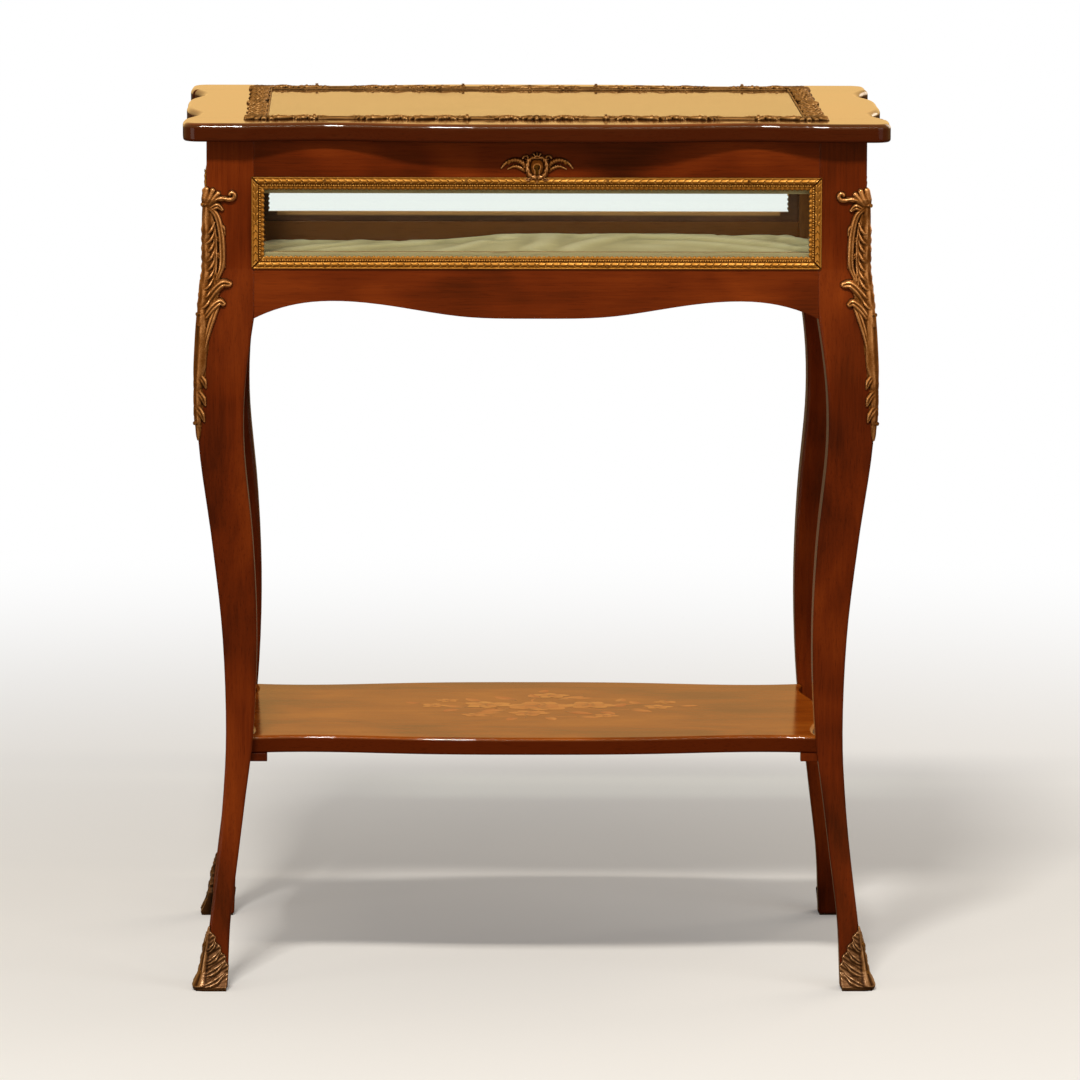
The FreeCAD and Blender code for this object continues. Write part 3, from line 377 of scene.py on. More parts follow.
# %% [markdown]
# Grain follows the long side of each piece, because short grain breaks: upright on the legs,
# sideways on front and back rails, front to back on the side rails. Inside the case the aprons take
# a darker brown. The lid's moulded edge is darker than its veneered top, and the shelf's face is a
# lighter veneer than its edge, to carry its flowers.

# %% Veneer on the legs, rails, lid and shelf
SIDES = ("front", "back", "left", "right")
CORNERS = [(y_name + "_" + x_name, x_side, y_side)
           for y_name, y_side in (("front", -1), ("back", 1))
           for x_name, x_side in (("left", -1), ("right", 1))]
dress(veneer["z"], *["leg_" + corner for corner, _, _ in CORNERS])
dress(veneer["x"], "top_rail_front", "top_rail_back", "apron_front", "apron_back")
dress(veneer["y"], "top_rail_left", "top_rail_right", "apron_left", "apron_right", "shelf_blocks")
dress(lid_veneer["x"], "lid_rail_front", "lid_rail_back")
dress(lid_veneer["y"], "lid_stile_left", "lid_stile_right")
dress(shelf_veneer, "shelf")
print("veneered pieces:", sum("veneer" in m.name for n in nodes.values() for m in n.data.materials))

# %% [markdown]
# Two plainer woods hide inside. The glazing beads are dark brown where they show in the case. The
# upper beads and the top edges of the lower ones are lighter, partly rubbed and partly painted
# light where the moulding shades them. The face that lies against the glass was left bare, because
# nobody can reach it to polish, and it is painted lighter still against the moulding's shade. The
# case's floor is a wood that only its maker saw.

# %% Plain woods
# Painted light: lighter bead tones where the moulding's shade would show as dark lines.
RUBBED_PAINTED_LIGHT, BARE_PAINTED_LIGHT = paint(150, 112, 66), paint(186, 168, 124)
# For each grain: half length and half depth of the box where beads are lightened as rubbed wear
# and painted light, then the axis across the glass and how far out the glass lies on it.
BEADS = {"x": (228, 180, 1, 181), "y": (280, 127, 0, 282)}
bead_wood = {}
for grain, (half_x, half_y, across, glass_face) in BEADS.items():
    zones = [((-half_x, -half_y, 644.2), (half_x, half_y, 710), RUBBED_PAINTED_LIGHT)]
    # Painted light on the face against the glass, which the moulding shades; the wood there is also
    # bare.
    for side in (-1, 1):
        low, high = [-300, -200, 600], [300, 200, 720]
        low[across], high[across] = side * glass_face - 0.6, side * glass_face + 0.6
        zones.append((low, high, BARE_PAINTED_LIGHT))
    bead_wood[grain] = wood("bead_wood_" + grain, grain, paint(42, 25, 13), paint(58, 35, 18),
                            paint(78, 50, 27), rough=(0.4, 0.55), index=1.35, zones=zones)
dress(bead_wood["x"], "glazing_beads_front", "glazing_beads_back")
dress(bead_wood["y"], "glazing_beads_left", "glazing_beads_right")
board_wood = wood("floor_board_wood", "x", paint(104, 66, 36), paint(134, 90, 52),
                  paint(158, 112, 70), rough=(0.6, 0.8), index=1.3)
dress(board_wood, "case_floor")
print("plain woods:", len(bead_wood) + 1)

# %% [markdown]
# ## Glass
#
# The panes are thin old sheets, a little green and not quite flat. Real glass bends light, but at
# three millimetres what matters is that it mirrors the room at a slant and lets light in. Blender's
# glass stops the lamps' direct light, which would leave the case dark and grainy, so light on its
# way from a lamp or scattered by a dull surface meets a clear shader instead.

# %% Window glass
def window_glass(name, tint, index):
    """Thin rippled glass that lets lamp light and scattered light pass unbent."""
    finish, tree, shader = new_finish(name)
    ripple = bumped(tree, noise(tree, here(tree), 22.0), 0.06, 0.0006)
    wire(tree, shader, Base_Color=tint, Roughness=0.0, IOR=index, Transmission_Weight=1.0,
         Normal=ripple)
    clear = put(tree, "BsdfTransparent", {"Color": tint}).outputs[0]
    ray = put(tree, "LightPath").outputs
    falls = maths(tree, "MAXIMUM", ray["Is Shadow Ray"], ray["Is Diffuse Ray"])
    both = blend_shaders(tree, falls, shader.outputs["BSDF"], clear)
    tree.links.new(both, tree.nodes["Material Output"].inputs["Surface"])
    return finish


panes = ["pane_" + side for side in SIDES]
dress(window_glass("old_glass", (0.93, 0.965, 0.94, 1), 1.27), *panes)
dress(window_glass("lid_glass", (0.95, 0.97, 0.95, 1), 1.42), "lid_glass")
print("sheets of glass:", len(panes) + 1)

# %% [markdown]
# ## Small working metal
#
# Hinges, lock and screws are turned and filed brass and steel. They have no gilding, only the fine
# scratches of use, so a plain metal with a streaky roughness is enough.

# %% Brass and steel
def turned_metal(name, colour, wear_and_shade, rough):
    """Bare metal with dull spots and fine scratches."""
    finish, tree, shader = new_finish(name)
    spots = noise(tree, here(tree), 160.0, 4.0)
    scratch = noise(tree, grained(tree, "x", 90, 2600), 1.0, 2.0)
    wire(tree, shader, Base_Color=ramp(tree, spots, (0.38, wear_and_shade), (0.6, colour)), Metallic=1.0,
         Roughness=rescale(tree, scratch, new=(rough - 0.1, rough + 0.15)),
         Normal=bumped(tree, scratch, 0.15, 0.0001, soft_arris(tree, 0.0003)))
    return finish


brass_parts = ["hinge_%s_%s" % (side, part) for side in ("left", "right")
               for part in ("case_leaf", "lid_leaf", "pin")] + ["lock_case", "lock_link_plate"]
steel_parts = ["lock_bolt", "lock_case_screws", "lock_link_screws", "hinge_case_screws",
               "hinge_lid_screws", "shelf_screws"]
dress(turned_metal("worn_hinge_brass", paint(184, 146, 80), paint(158, 122, 64), 0.34),
      *brass_parts)
dress(turned_metal("screw_steel", paint(150, 144, 136), paint(120, 114, 106), 0.4), *steel_parts)
print("working metal pieces:", len(brass_parts) + len(steel_parts))

# %% [markdown]
# ## Cast and gilded metal
#
# The mounts are cast in brass, chased by hand and fire-gilded. Two centuries of dusting rub the
# high places bright and leave brown in every hollow, and that contrast is what makes the ornament
# readable from across a room. Here the brown in the hollows is partly that patina and partly
# painted shade.
#
# A shader can guess hollows from the shape, but the pieces below are drawn as heights, so each
# already knows how far every point stands above its surroundings. That number rides on the mesh
# as an attribute called wear_and_shade, and the finish turns it into colour and roughness.

# %% Gilt metal recipe
def gilt(name, hollow, body, rubbed, rough=(0.62, 0.3)):
    """Cast metal: patina and painted shade in hollows, bright and smooth where rubbed."""
    finish, tree, shader = new_finish(name)
    # Low values paint shade and patina into the hollows; high values show rubbed metal.
    wear_and_shade = put(tree, "Attribute", attribute_name="wear_and_shade").outputs["Fac"]
    patches = noise(tree, here(tree), 70.0, 5.0)
    casting = noise(tree, here(tree), 900.0, 3.0)
    level = sums(tree, (wear_and_shade, 0.6), (patches, 0.3), (casting, 0.15))
    wire(tree, shader, Metallic=1.0,
         Base_Color=ramp(tree, level, (0.3, hollow), (0.52, body), (0.72, rubbed)),
         Roughness=rescale(tree, level, (0.3, 0.72), rough),
         Normal=bumped(tree, casting, 0.35, 0.0004))
    return finish


window_gilt = gilt("window_gilding", paint(94, 60, 22), paint(140, 97, 38), paint(172, 131, 68),
                   rough=(0.66, 0.42))
mount_gilt = gilt("mount_gilding", paint(48, 27, 11), paint(108, 69, 31), paint(184, 141, 96),
                  rough=(0.66, 0.36))
border_gilt = gilt("border_gilding", paint(42, 30, 16), paint(90, 67, 39), paint(148, 118, 78),
                   rough=(0.74, 0.52))
dark_bronze = gilt("shoe_bronze", paint(32, 21, 14), paint(80, 57, 38), paint(132, 106, 80))
pin_gilt = turned_metal("pin_gilding", paint(150, 112, 62), paint(90, 62, 32), 0.4)
dress(pin_gilt, "mount_pins", "lid_border_pins", "escutcheon_pins")
print("finishes so far:", len(bpy.data.materials))

# %% [markdown]
# ## A drawing board for ornament
#
# A chaser works a mount as a low relief: outlines first, then the swell of every leaf. It could be
# sculpted by hand in Blender, or displaced from a picture, but neither can be written down in a
# script that someone else can change.
#
# Here a board is a fine grid of points with two numbers each. edge says how far a point lies inside
# the nearest outline in millimetres, and high how far the metal stands up. Leaves, stems and bosses
# are stamped on it one after another, the higher one winning, and then everything inside an outline
# becomes a mesh. Empty places stay open, which gives pierced work for nothing.

# %% Board
def board(u0, u1, v0, v1, step):
    """An empty board between two corners, in millimetres."""
    u = u0 + step * np.arange(int(round((u1 - u0) / step)) + 1)
    v = v0 + step * np.arange(int(round((v1 - v0) / step)) + 1)
    grid_u, grid_v = np.meshgrid(u, v, indexing="ij")
    return {"u": grid_u, "v": grid_v, "step": step,
            "edge": np.full(grid_u.shape, -4.0 * step), "high": np.zeros(grid_u.shape)}


def near(sheet, low, high):
    """The part of a board between two corners, as index slices."""
    step, shape = sheet["step"], sheet["u"].shape
    start = (sheet["u"][0, 0], sheet["v"][0, 0])
    spans = []
    for axis in (0, 1):
        first = max(0, int((low[axis] - start[axis]) / step))
        last = min(shape[axis], int((high[axis] - start[axis]) / step) + 2)
        spans.append(slice(first, max(first, last)))
    return tuple(spans)


def stamp(sheet, part, inside, raised):
    """Keeps the larger of what was there and what is stamped."""
    sheet["edge"][part] = np.maximum(sheet["edge"][part], inside)
    sheet["high"][part] = np.maximum(sheet["high"][part], np.where(inside > 0, raised, 0))


print("board tools: board, near, stamp")


# %% Stamps
def flowing(points, count):
    """A smooth line through a few points."""
    p = np.array(points, float)
    p = np.vstack([2 * p[0] - p[1], p, 2 * p[-1] - p[-2]])
    place = np.linspace(0, len(points) - 1 - 1e-9, count)
    i = place.astype(int)
    t = (place - i)[:, None]
    a, b, c, d = p[i], p[i + 1], p[i + 2], p[i + 3]
    return 0.5 * (2 * b + (c - a) * t + (2 * a - 5 * b + 4 * c - d) * t ** 2
                  + (3 * b - a - 3 * c + d) * t ** 3)


def leaf(sheet, points, wide, high, lobes=0, vein=0.0):
    """A stem or leaf along a line: half widths and heights at even places, lobed edges, a vein."""
    reach = np.abs(np.diff(np.array(points, float), axis=0)).sum()
    line = flowing(points, max(6, int(reach / 1.3)))
    part = near(sheet, line.min(0) - max(wide) - 1, line.max(0) + max(wide) + 1)
    at = np.stack([sheet["u"][part], sheet["v"][part]], axis=-1)
    if at.size == 0:
        return
    run = np.diff(line, axis=0)
    away = at[..., None, :] - line[:-1]
    share = np.clip((away * run).sum(-1) / np.maximum((run ** 2).sum(-1), 1e-9), 0, 1)
    off = away - share[..., None] * run
    gap = np.sqrt((off ** 2).sum(-1))
    k = gap.argmin(-1)[..., None]
    gap = np.take_along_axis(gap, k, -1)[..., 0]
    along = (k + np.take_along_axis(share, k, -1))[..., 0] / len(run)
    width = np.interp(along, np.linspace(0, 1, len(wide)), wide)
    if lobes:
        width = width * (0.74 + 0.26 * np.abs(np.sin(math.pi * lobes * along)) ** 0.6)
    across = np.clip(gap / np.maximum(width, 1e-6), 0, 1)
    raised = np.interp(along, np.linspace(0, 1, len(high)), high) * np.sqrt(1 - across ** 2)
    if lobes:
        furrow = 0.5 + 0.5 * np.cos(2 * math.pi * (lobes * along - across * 0.6))
        raised = raised * (1 - 0.35 * across * furrow)
    raised = raised * (1 - vein * np.exp(-(across / 0.2) ** 2))
    stamp(sheet, part, width - gap, raised)


def boss(sheet, u, v, radius, high):
    """A round bead."""
    part = near(sheet, (u - radius - 1, v - radius - 1), (u + radius + 1, v + radius + 1))
    gap = np.hypot(sheet["u"][part] - u, sheet["v"][part] - v)
    stamp(sheet, part, radius - gap, high * np.sqrt(np.clip(1 - (gap / radius) ** 2, 0, 1)))


def curl(u, v, radius, start, turns, shrink=0.25):
    """Points of a scroll that winds in from a start angle in degrees; minus turns clockwise."""
    t = np.linspace(0, 1, 10)
    angle = math.radians(start) + 2 * math.pi * turns * t
    r = radius * (1 - (1 - shrink) * t)
    return np.stack([u + r * np.cos(angle), v + r * np.sin(angle)], axis=1).tolist()


def fan(sheet, u, v, first, last, count, length, width, high):
    """Leaves that spread from a point between two angles in degrees, as on a shell."""
    for angle in np.radians(np.linspace(first, last, count)):
        tip = (u + length * math.cos(angle), v + length * math.sin(angle))
        leaf(sheet, [(u, v), tip], [width * 0.5, width, width * 0.8],
             [high * 0.8, high, high * 0.7])


print("stamps: leaf, boss, curl, fan")

# %% [markdown]
# Turning a board into a mesh takes three steps. Cells whose corners lie inside an outline are kept,
# the outermost points slide onto the outline so that it doesn't look like stairs, and a wall drops
# from there to the wood. The wear_and_shade value compares each height with its blurred
# neighbourhood: high places read as rubbed, hollows as patina and painted shade.

# %% Neighbours and numbers on a grid
# The same reach decides where shell() paints shade into hollows, beside the wear of hands and
# dusters.
WEAR_AND_SHADE_REACH = 1.3  # millimetres over which hands and dusters level a relief


def cells_round(cells):
    """How many of the four cells round each grid point are in use."""
    padded = np.pad(cells, 1).astype(int)
    return padded[:-1, :-1] + padded[1:, :-1] + padded[1:, 1:] + padded[:-1, 1:]


def numbered(used, first=0):
    """Numbers the used grid points in order; the others get -1."""
    number = np.full(used.shape, -1)
    number[used] = first + np.arange(used.sum())
    return number


def blurred(values, reach):
    """Average over a square neighbourhood, by running sums."""
    for axis in (0, 1):
        size = values.shape[axis]
        total = np.cumsum(np.insert(values, 0, 0, axis=axis), axis=axis)
        low = np.clip(np.arange(size) - reach, 0, size)
        high = np.clip(np.arange(size) + reach + 1, 0, size)
        span = (high - low).reshape((-1, 1) if axis == 0 else (1, -1))
        values = (np.take(total, high, axis) - np.take(total, low, axis)) / span
    return values


print("grid tools: cells_round, numbered, blurred")


# %% From board to mesh
def shell(sheet, place, rim=0.5, base=-0.2, lift=None):
    """Points, quads and wear_and_shade values of a board's relief; place(u, v, height) puts them.
    """
    edge, step = sheet["edge"], sheet["step"]
    mean = edge[:-1, :-1] + edge[1:, :-1] + edge[1:, 1:] + edge[:-1, 1:]
    cells = mean > 0
    padded, around = np.pad(cells, 1), cells_round(cells)
    used, outer = around > 0, (around > 0) & (around < 4)
    slope_u, slope_v = np.gradient(edge, step)
    steep = np.maximum(slope_u ** 2 + slope_v ** 2, 0.05)
    move = np.where(outer, np.clip(-edge, -0.9 * step, 0.9 * step) / steep, 0)
    u = sheet["u"] + np.clip(move * slope_u, -step, step)
    v = sheet["v"] + np.clip(move * slope_v, -step, step)
    high = np.where(outer, rim, np.maximum(sheet["high"], rim))
    soft = blurred(np.where(used, high, 0), max(1, int(WEAR_AND_SHADE_REACH / step)))
    # Points below their surroundings are darkened as patina and painted shade, points above them
    # show rubbed wear.
    wear_and_shade = np.clip(0.5 + (high - soft) / WEAR_AND_SHADE_REACH, 0, 1)
    if lift is not None:
        high = high + lift(sheet["u"], sheet["v"])
    number, foot = numbered(used), numbered(outer, used.sum())
    i, j = np.nonzero(cells)
    ring = [(i, j), (i + 1, j), (i + 1, j + 1), (i, j + 1)]
    quads = [np.stack([number[c] for c in ring], axis=1)]
    for side, (di, dj) in enumerate(((0, -1), (1, 0), (0, 1), (-1, 0))):
        open_side = ~padded[i + 1 + di, j + 1 + dj]
        p = tuple(c[open_side] for c in ring[side])
        q = tuple(c[open_side] for c in ring[(side + 1) % 4])
        quads.append(np.stack([number[q], number[p], foot[p], foot[q]], axis=1))
    points = np.vstack([place(u[used], v[used], high[used]),
                        place(u[outer], v[outer], np.full(outer.sum(), float(base)))])
    spot = np.array([[np.median(u[used]), np.median(v[used]), 1.0]])
    a, b, c, d = (place(*(spot + np.array([shift])).T) for shift in
                  ((0, 0, 0), (0.1, 0, 0), (0, 0.1, 0), (0, 0, 0.1)))
    quads = np.vstack(quads)
    if float(np.cross(b - a, c - a)[0] @ (d - a)[0]) < 0:
        quads = quads[:, ::-1]
    # The wall feet get a low value: patina and painted shade where the relief meets the wood.
    return points, quads, np.concatenate([wear_and_shade[used], np.full(outer.sum(), 0.15)])


def piece(name, shells, finish, body, stands_for=(), sharp=48):
    """One object from several shells; it rides on a body and replaces plain solids."""
    points = np.vstack([s[0] for s in shells]) * MM
    starts = np.cumsum([0] + [len(s[0]) for s in shells])
    quads = np.vstack([s[1] + start for s, start in zip(shells, starts)])
    mesh = bpy.data.meshes.new(name)
    mesh.vertices.add(len(points))
    mesh.vertices.foreach_set("co", points.astype(np.float32).ravel())
    mesh.loops.add(quads.size)
    mesh.loops.foreach_set("vertex_index", quads.astype(np.int32).ravel())
    mesh.polygons.add(len(quads))
    mesh.polygons.foreach_set("loop_start", np.arange(0, quads.size, 4, dtype=np.int32))
    mesh.update(calc_edges=True)
    mesh.validate()
    # Each finish reads this number its own way: wear and painted shade on metal, painted shade in
    # satin folds, sand-shading in inlay.
    wear_and_shade = mesh.attributes.new("wear_and_shade", "FLOAT", "POINT")
    wear_and_shade.data.foreach_set("value", np.concatenate([s[2] for s in shells]).astype(np.float32))
    mesh.shade_smooth()
    mesh.set_sharp_from_angle(angle=math.radians(sharp))
    mesh.materials.append(finish)
    made = bpy.data.objects.new(name, mesh)
    bpy.context.scene.collection.objects.link(made)
    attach(made, body)
    if stands_for:
        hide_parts(*stands_for)
    return made


print("mesh tools: shell, piece")

# %% [markdown]
# ## Window mouldings
#
# Each glass side is framed by four mitred lengths of stamped gilt strip. From the outside inwards
# they show a round bead, a band of overlapping leaves that meet at the middle, a row of pearls and
# a scalloped lip that bites into the view of the glass.
#
# The pattern runs for metres, so it isn't stamped leaf by leaf. Its height is a formula of the
# distance along the strip and across it, which also makes the two ends of a mitre agree.

# %% Window moulding
# In millimetres: width of the strip and of its lip and how often each pattern repeats, then, from
# the outer edge inwards, where the bands end and where the leaves and pearls have their middle.
STRIP, LIP, LEAF_PITCH, PEARL_PITCH, SCALLOP = 10.0, 1.5, 6.3, 2.1, 4.2
BEAD_ENDS, LEAVES_END, PEARLS_END = 1.8, 6.4, 8.6
LEAF_ROW, PEARL_ROW = 3.9, 7.5


def moulding_strip(half, step=0.5):
    """Board of one strip: u runs along it from the middle, v from its outer edge to the glass."""
    sheet = board(-half, half, 0, STRIP + LIP, step)
    u, v = sheet["u"], sheet["v"]
    lip = STRIP + LIP * np.abs(np.sin(math.pi * u / SCALLOP)) ** 0.7
    sheet["edge"] = np.minimum(np.minimum(v, lip - v), (half - v - np.abs(u)) * 0.7071)
    bead = 1.0 + 1.3 * np.sqrt(np.clip(1 - ((v - 0.9) / 0.9) ** 2, 0, 1))
    swell = np.sqrt(np.clip(1 - ((v - LEAF_ROW) / 2.5) ** 2, 0, 1))
    blade = (np.abs(u) / LEAF_PITCH - np.abs(v - LEAF_ROW) / 4.6) % 1.0
    leaves = 0.9 + swell * (1.15 + 0.95 * blade ** 0.7)
    pearl_u = ((u / PEARL_PITCH) % 1.0 - 0.5) / 0.46
    pearl_v = (v - PEARL_ROW) / 0.95
    pearls = 0.9 + 1.2 * np.sqrt(np.clip(1 - pearl_u ** 2 - pearl_v ** 2, 0, 1))
    ray = 0.5 + 0.5 * np.cos(2 * math.pi * u / SCALLOP)
    fringe = 1.25 - 0.35 * ray - 0.12 * (v - PEARLS_END)
    sheet["high"] = np.select([v < BEAD_ENDS, v < LEAVES_END, v < PEARLS_END],
                              [bead, leaves, pearls], fringe)
    return sheet


def window_place(side, angle, face, half, middle_z, half_z):
    """Puts a strip on one side of one window; angle turns the front window to the others."""
    turn = math.radians(angle)

    def place(u, v, h):
        """Lays a strip's points along its side of the window."""
        if side in ("low", "high"):
            x, z = u, middle_z + (half_z - v) * (1 if side == "high" else -1)
        else:
            x, z = (half - v) * (1 if side == "right" else -1), middle_z + u
        y = -face - h
        return np.stack([x * math.cos(turn) - y * math.sin(turn),
                         x * math.sin(turn) + y * math.cos(turn), z], axis=1)
    return place


WINDOW_MIDDLE, WINDOW_HALF = 672.5, 40.0
for side, angle, half, face in (("front", 0, 246.5, 184.0), ("right", 90, 145.5, 285.0),
                                ("back", 180, 246.5, 184.0), ("left", -90, 145.5, 285.0)):
    long_strip, short_strip = moulding_strip(half), moulding_strip(WINDOW_HALF)
    strips = [shell(long_strip if run in ("low", "high") else short_strip,
                    window_place(run, angle, face, half, WINDOW_MIDDLE, WINDOW_HALF), base=0.0)
              for run in ("low", "high", "left", "right")]
    made = piece("moulding_" + side, strips, window_gilt, "case",
                 ["window_moulding_" + side])
    print(made.name, len(made.data.polygons), "faces")

# %% [markdown]
# ## Pierced border round the lid's glass
#
# A strip of cast foliage covers the joint between glass and wood. A wavy stem throws a curling
# branch into each hollow, with leaves on the outside of every bend. Along the front and back the
# foliage comes in clusters with plain reeded lengths between, and the sides are foliage throughout.
# The wood shows through the gaps, and a slim rail along the glass ties everything together.
#
# Only a quarter is designed. Each stamp is repeated at its mirror places, which gives the same
# symmetry as a caster's repeated moulds. Round bosses carry the pins that hold the strip down.

# %% Lid border
BORDER_X, BORDER_Y, BORDER_W, LID_TOP = 252.0, 166.0, 20.0, 760.0
border_u, border_v = BORDER_X - BORDER_W / 2, BORDER_Y - BORDER_W / 2
border = board(-BORDER_X - 3, BORDER_X + 3, -BORDER_Y - 3, BORDER_Y + 3, 0.6)


def four_times(points, *sizes, **more):
    """Stamps a leaf in all four quarters of the lid."""
    for sx in (-1, 1):
        for sy in (-1, 1):
            leaf(border, [(x * sx, y * sy) for x, y in points], *sizes, **more)


def foliage(origin, along, across, start, end, waves):
    """Scrolling stem with curls and leaves between two places along a straight strip."""
    def at(points):
        """Turns places along and across the strip into places on the lid."""
        return [(origin[0] + s * along[0] + n * across[0], origin[1] + s * along[1] + n * across[1])
                for s, n in points]
    pitch = (end - start) / waves
    for k in range(waves):
        s, side = start + k * pitch, 1 if k % 2 else -1
        stem = [(s, 0), (s + pitch * 0.22, side * 3.9), (s + pitch * 0.5, side * 5.6),
                (s + pitch * 0.78, side * 3.9), (s + pitch, 0)]
        four_times(at(stem), [1.4, 2.0, 1.4], [2.6, 3.4, 2.6])
        wind = curl(s + pitch / 2, -side * 0.9, 4.9, 140 if side > 0 else 220, -0.95 * side)
        four_times(at(wind), [1.7, 1.3, 0.9], [3.6, 3.0, 2.6])
        heart = [(s + pitch / 2, -side * 0.9), (s + pitch / 2 + 0.4, -side * 0.9)]
        four_times(at(heart), [2.2, 2.2], [3.9, 3.9])
        for root, tip, wide in (((0.86, 1.5), (1.0, 9.6), 2.7), ((0.9, -0.6), (1.2, 5.6), 1.9),
                                ((0.55, 5.4), (0.78, 9.9), 2.2), ((0.3, -4.4), (0.06, -8.4), 2.3),
                                ((0.62, -5.0), (0.84, -8.6), 2.1)):
            blade = [(s + pitch * root[0], side * root[1]),
                     (s + pitch * (root[0] + tip[0]) / 2 + 0.8, side * (root[1] + tip[1]) / 2),
                     (s + pitch * tip[0], side * tip[1])]
            four_times(at(blade), [wide * 0.6, wide, wide * 0.7, 0.4], [2.4, 3.6, 2.8, 1.3],
                       lobes=3, vein=0.35)


def reeded(start, end):
    """A plain stretch between two clusters on the long strips: a bar with a leaf at each end."""
    bar, thread = border_v - 1, border_v + 4
    four_times([(start, bar), (end, bar)], [1.6, 3.4, 3.4, 1.6], [1.8, 2.5, 2.5, 1.8])
    four_times([(start, thread), (end, thread)], [0.9, 1.5, 0.9], [1.4, 1.9, 1.4], lobes=8)
    for tip, root in ((start + 13, start - 2), (end - 13, end + 2)):
        four_times([(root, bar), (tip, bar)], [4.4, 5.2, 0.8], [3.4, 3.6, 2.0], lobes=4, vein=0.4)


# Start and end of each cluster on half a long strip, and how many waves of scroll it holds.
CLUSTERS = ((14, 36, 1), (68, 152, 4), (190, 234, 2))
for start, end, waves in CLUSTERS:
    foliage((0, border_v), (1, 0), (0, 1), start, end, waves)
foliage((border_u, 0), (0, 1), (1, 0), 15, 141, 6)
reeded(37, 67)
reeded(153, 189)
inner_x, inner_y = BORDER_X - BORDER_W + 0.9, BORDER_Y - BORDER_W + 0.9
four_times([(0, inner_y), (inner_x, inner_y)], [0.9] * 2, [1.2] * 2)
four_times([(inner_x, 0), (inner_x, inner_y)], [0.9] * 2, [1.2] * 2)
print("foliage clusters on half a long strip:", len(CLUSTERS))

# %% [markdown]
# The corners need a stronger accent than the running scroll, so a lobed leaf grows out of each
# inner corner between two curls. A small shell sits at the middle of every side, where the two
# directions of the scroll meet.

# %% Lid border: corners, shells and bosses
PIN_LINE_X, PIN_LINE_Y, HIGHEST = 245.25, 159.25, 4.0
for sx in (-1, 1):
    for sy in (-1, 1):
        outward = 90 - sx * 45 if sy > 0 else 270 + sx * 45
        root = (sx * (BORDER_X - BORDER_W + 3), sy * (BORDER_Y - BORDER_W + 3))
        tip = (sx * (BORDER_X + 0.5), sy * (BORDER_Y + 0.5))
        fan(border, *root, outward - 64, outward + 64, 7, 17.5, 3.0, 3.3)
        leaf(border, [root, tip], [2.4, 4.2, 3.4, 0.8], [3.2, 3.9, 3.6, 2.0], lobes=4, vein=0.4)
for sx in (-1, 1):
    boss(border, sx * border_u, 0, 3.8, 3.9)
    fan(border, sx * (border_u - 5), 0, 90 - sx * 165, 90 - sx * 15, 7, 15.0, 2.2, 3.4)
    fan(border, sx * (border_u + 5), 0, 90 + sx * 20, 90 + sx * 160, 5, 11.0, 1.9, 3.0)
    for y in (-60, 60):
        boss(border, sx * PIN_LINE_X, y, 3.0, HIGHEST)
for sy in (-1, 1):
    boss(border, 0, sy * border_v, 3.8, 3.9)
    fan(border, 0, sy * (border_v - 5), sy * 15, sy * 165, 7, 15.0, 2.2, 3.4)
    fan(border, 0, sy * (border_v + 5), -sy * 20, -sy * 160, 5, 11.0, 1.9, 3.0)
    for x in (-192, -60, 60, 192):
        boss(border, x, sy * PIN_LINE_Y, 3.0, HIGHEST)
outside = np.maximum(np.abs(border["u"]) - BORDER_X - 1.2, np.abs(border["v"]) - BORDER_Y - 1.2)
border["edge"] = np.minimum(border["edge"], -outside)
border["high"] = np.minimum(border["high"], HIGHEST)


def on_lid(u, v, h):
    """Lays a board on the lid's top."""
    return np.stack([u, v, LID_TOP + h], axis=1)


lid_border = piece("lid_border_foliage", [shell(border, on_lid)], border_gilt, "lid",
                   ["lid_border"])
print(lid_border.name, len(lid_border.data.polygons), "faces")

# %% [markdown]
# ## Corner mounts
#
# Each leg's knee carries a mount bent round its front edge: a shell and a curled arm at the top, a
# ribbed body, a pair of leaves that turn over at the knee, and a long tail of husks. On the bench
# it would be a flat casting bent over the corner, and that is also the easy way to draw it.
#
# The board's u runs round the corner, nought being the arris, and v is the height above the floor.
# on_leg then wraps a point round the curved leg, whose outward swing at any height is read from the
# same few stations that shape the wood.

# %% Wrapping round a leg
# Half width and half depth of the case and the radius of its corners.
HALF_W, HALF_D, ARRIS = 285.0, 184.0, 2.5
# Heights above the floor and how far the leg stands out there.
LEG_SWING = ((0, 5.0), (59, -1.6), (112.1, -8.0), (165.2, -13.0), (224.2, -15.7), (309.75, -12.8),
             (392.35, -4.2), (477.9, 6.9), (531, 8.5), (581.15, 5.6), (613.6, 2.3), (632.5, 0.0))


def eased(share):
    """Goes from 0 to 1 with a soft start and a soft end."""
    share = np.clip(share, 0, 1)
    return share * share * (3 - 2 * share)


def swing(z):
    """How far the leg's outer faces stand outside the case at heights above the floor."""
    at, out = np.array(LEG_SWING).T
    z = np.asarray(z, float)
    i = np.clip(np.searchsorted(at, z) - 1, 0, len(at) - 2)
    rise, climb = np.diff(out), np.diff(at)
    middle = (out[2:] - out[:-2]) / (at[2:] - at[:-2])
    slope = np.concatenate([rise[:1] / climb[:1], middle, rise[-1:] / climb[-1:]])
    run = at[i + 1] - at[i]
    t = np.clip((z - at[i]) / run, 0, 1)
    lift = eased(t)
    curve = out[i] * (1 - lift) + out[i + 1] * lift
    curve = curve + slope[i] * run * t * (1 - t) ** 2 - slope[i + 1] * run * t * t * (1 - t)
    return np.where(z >= at[-1], 0.0, curve)


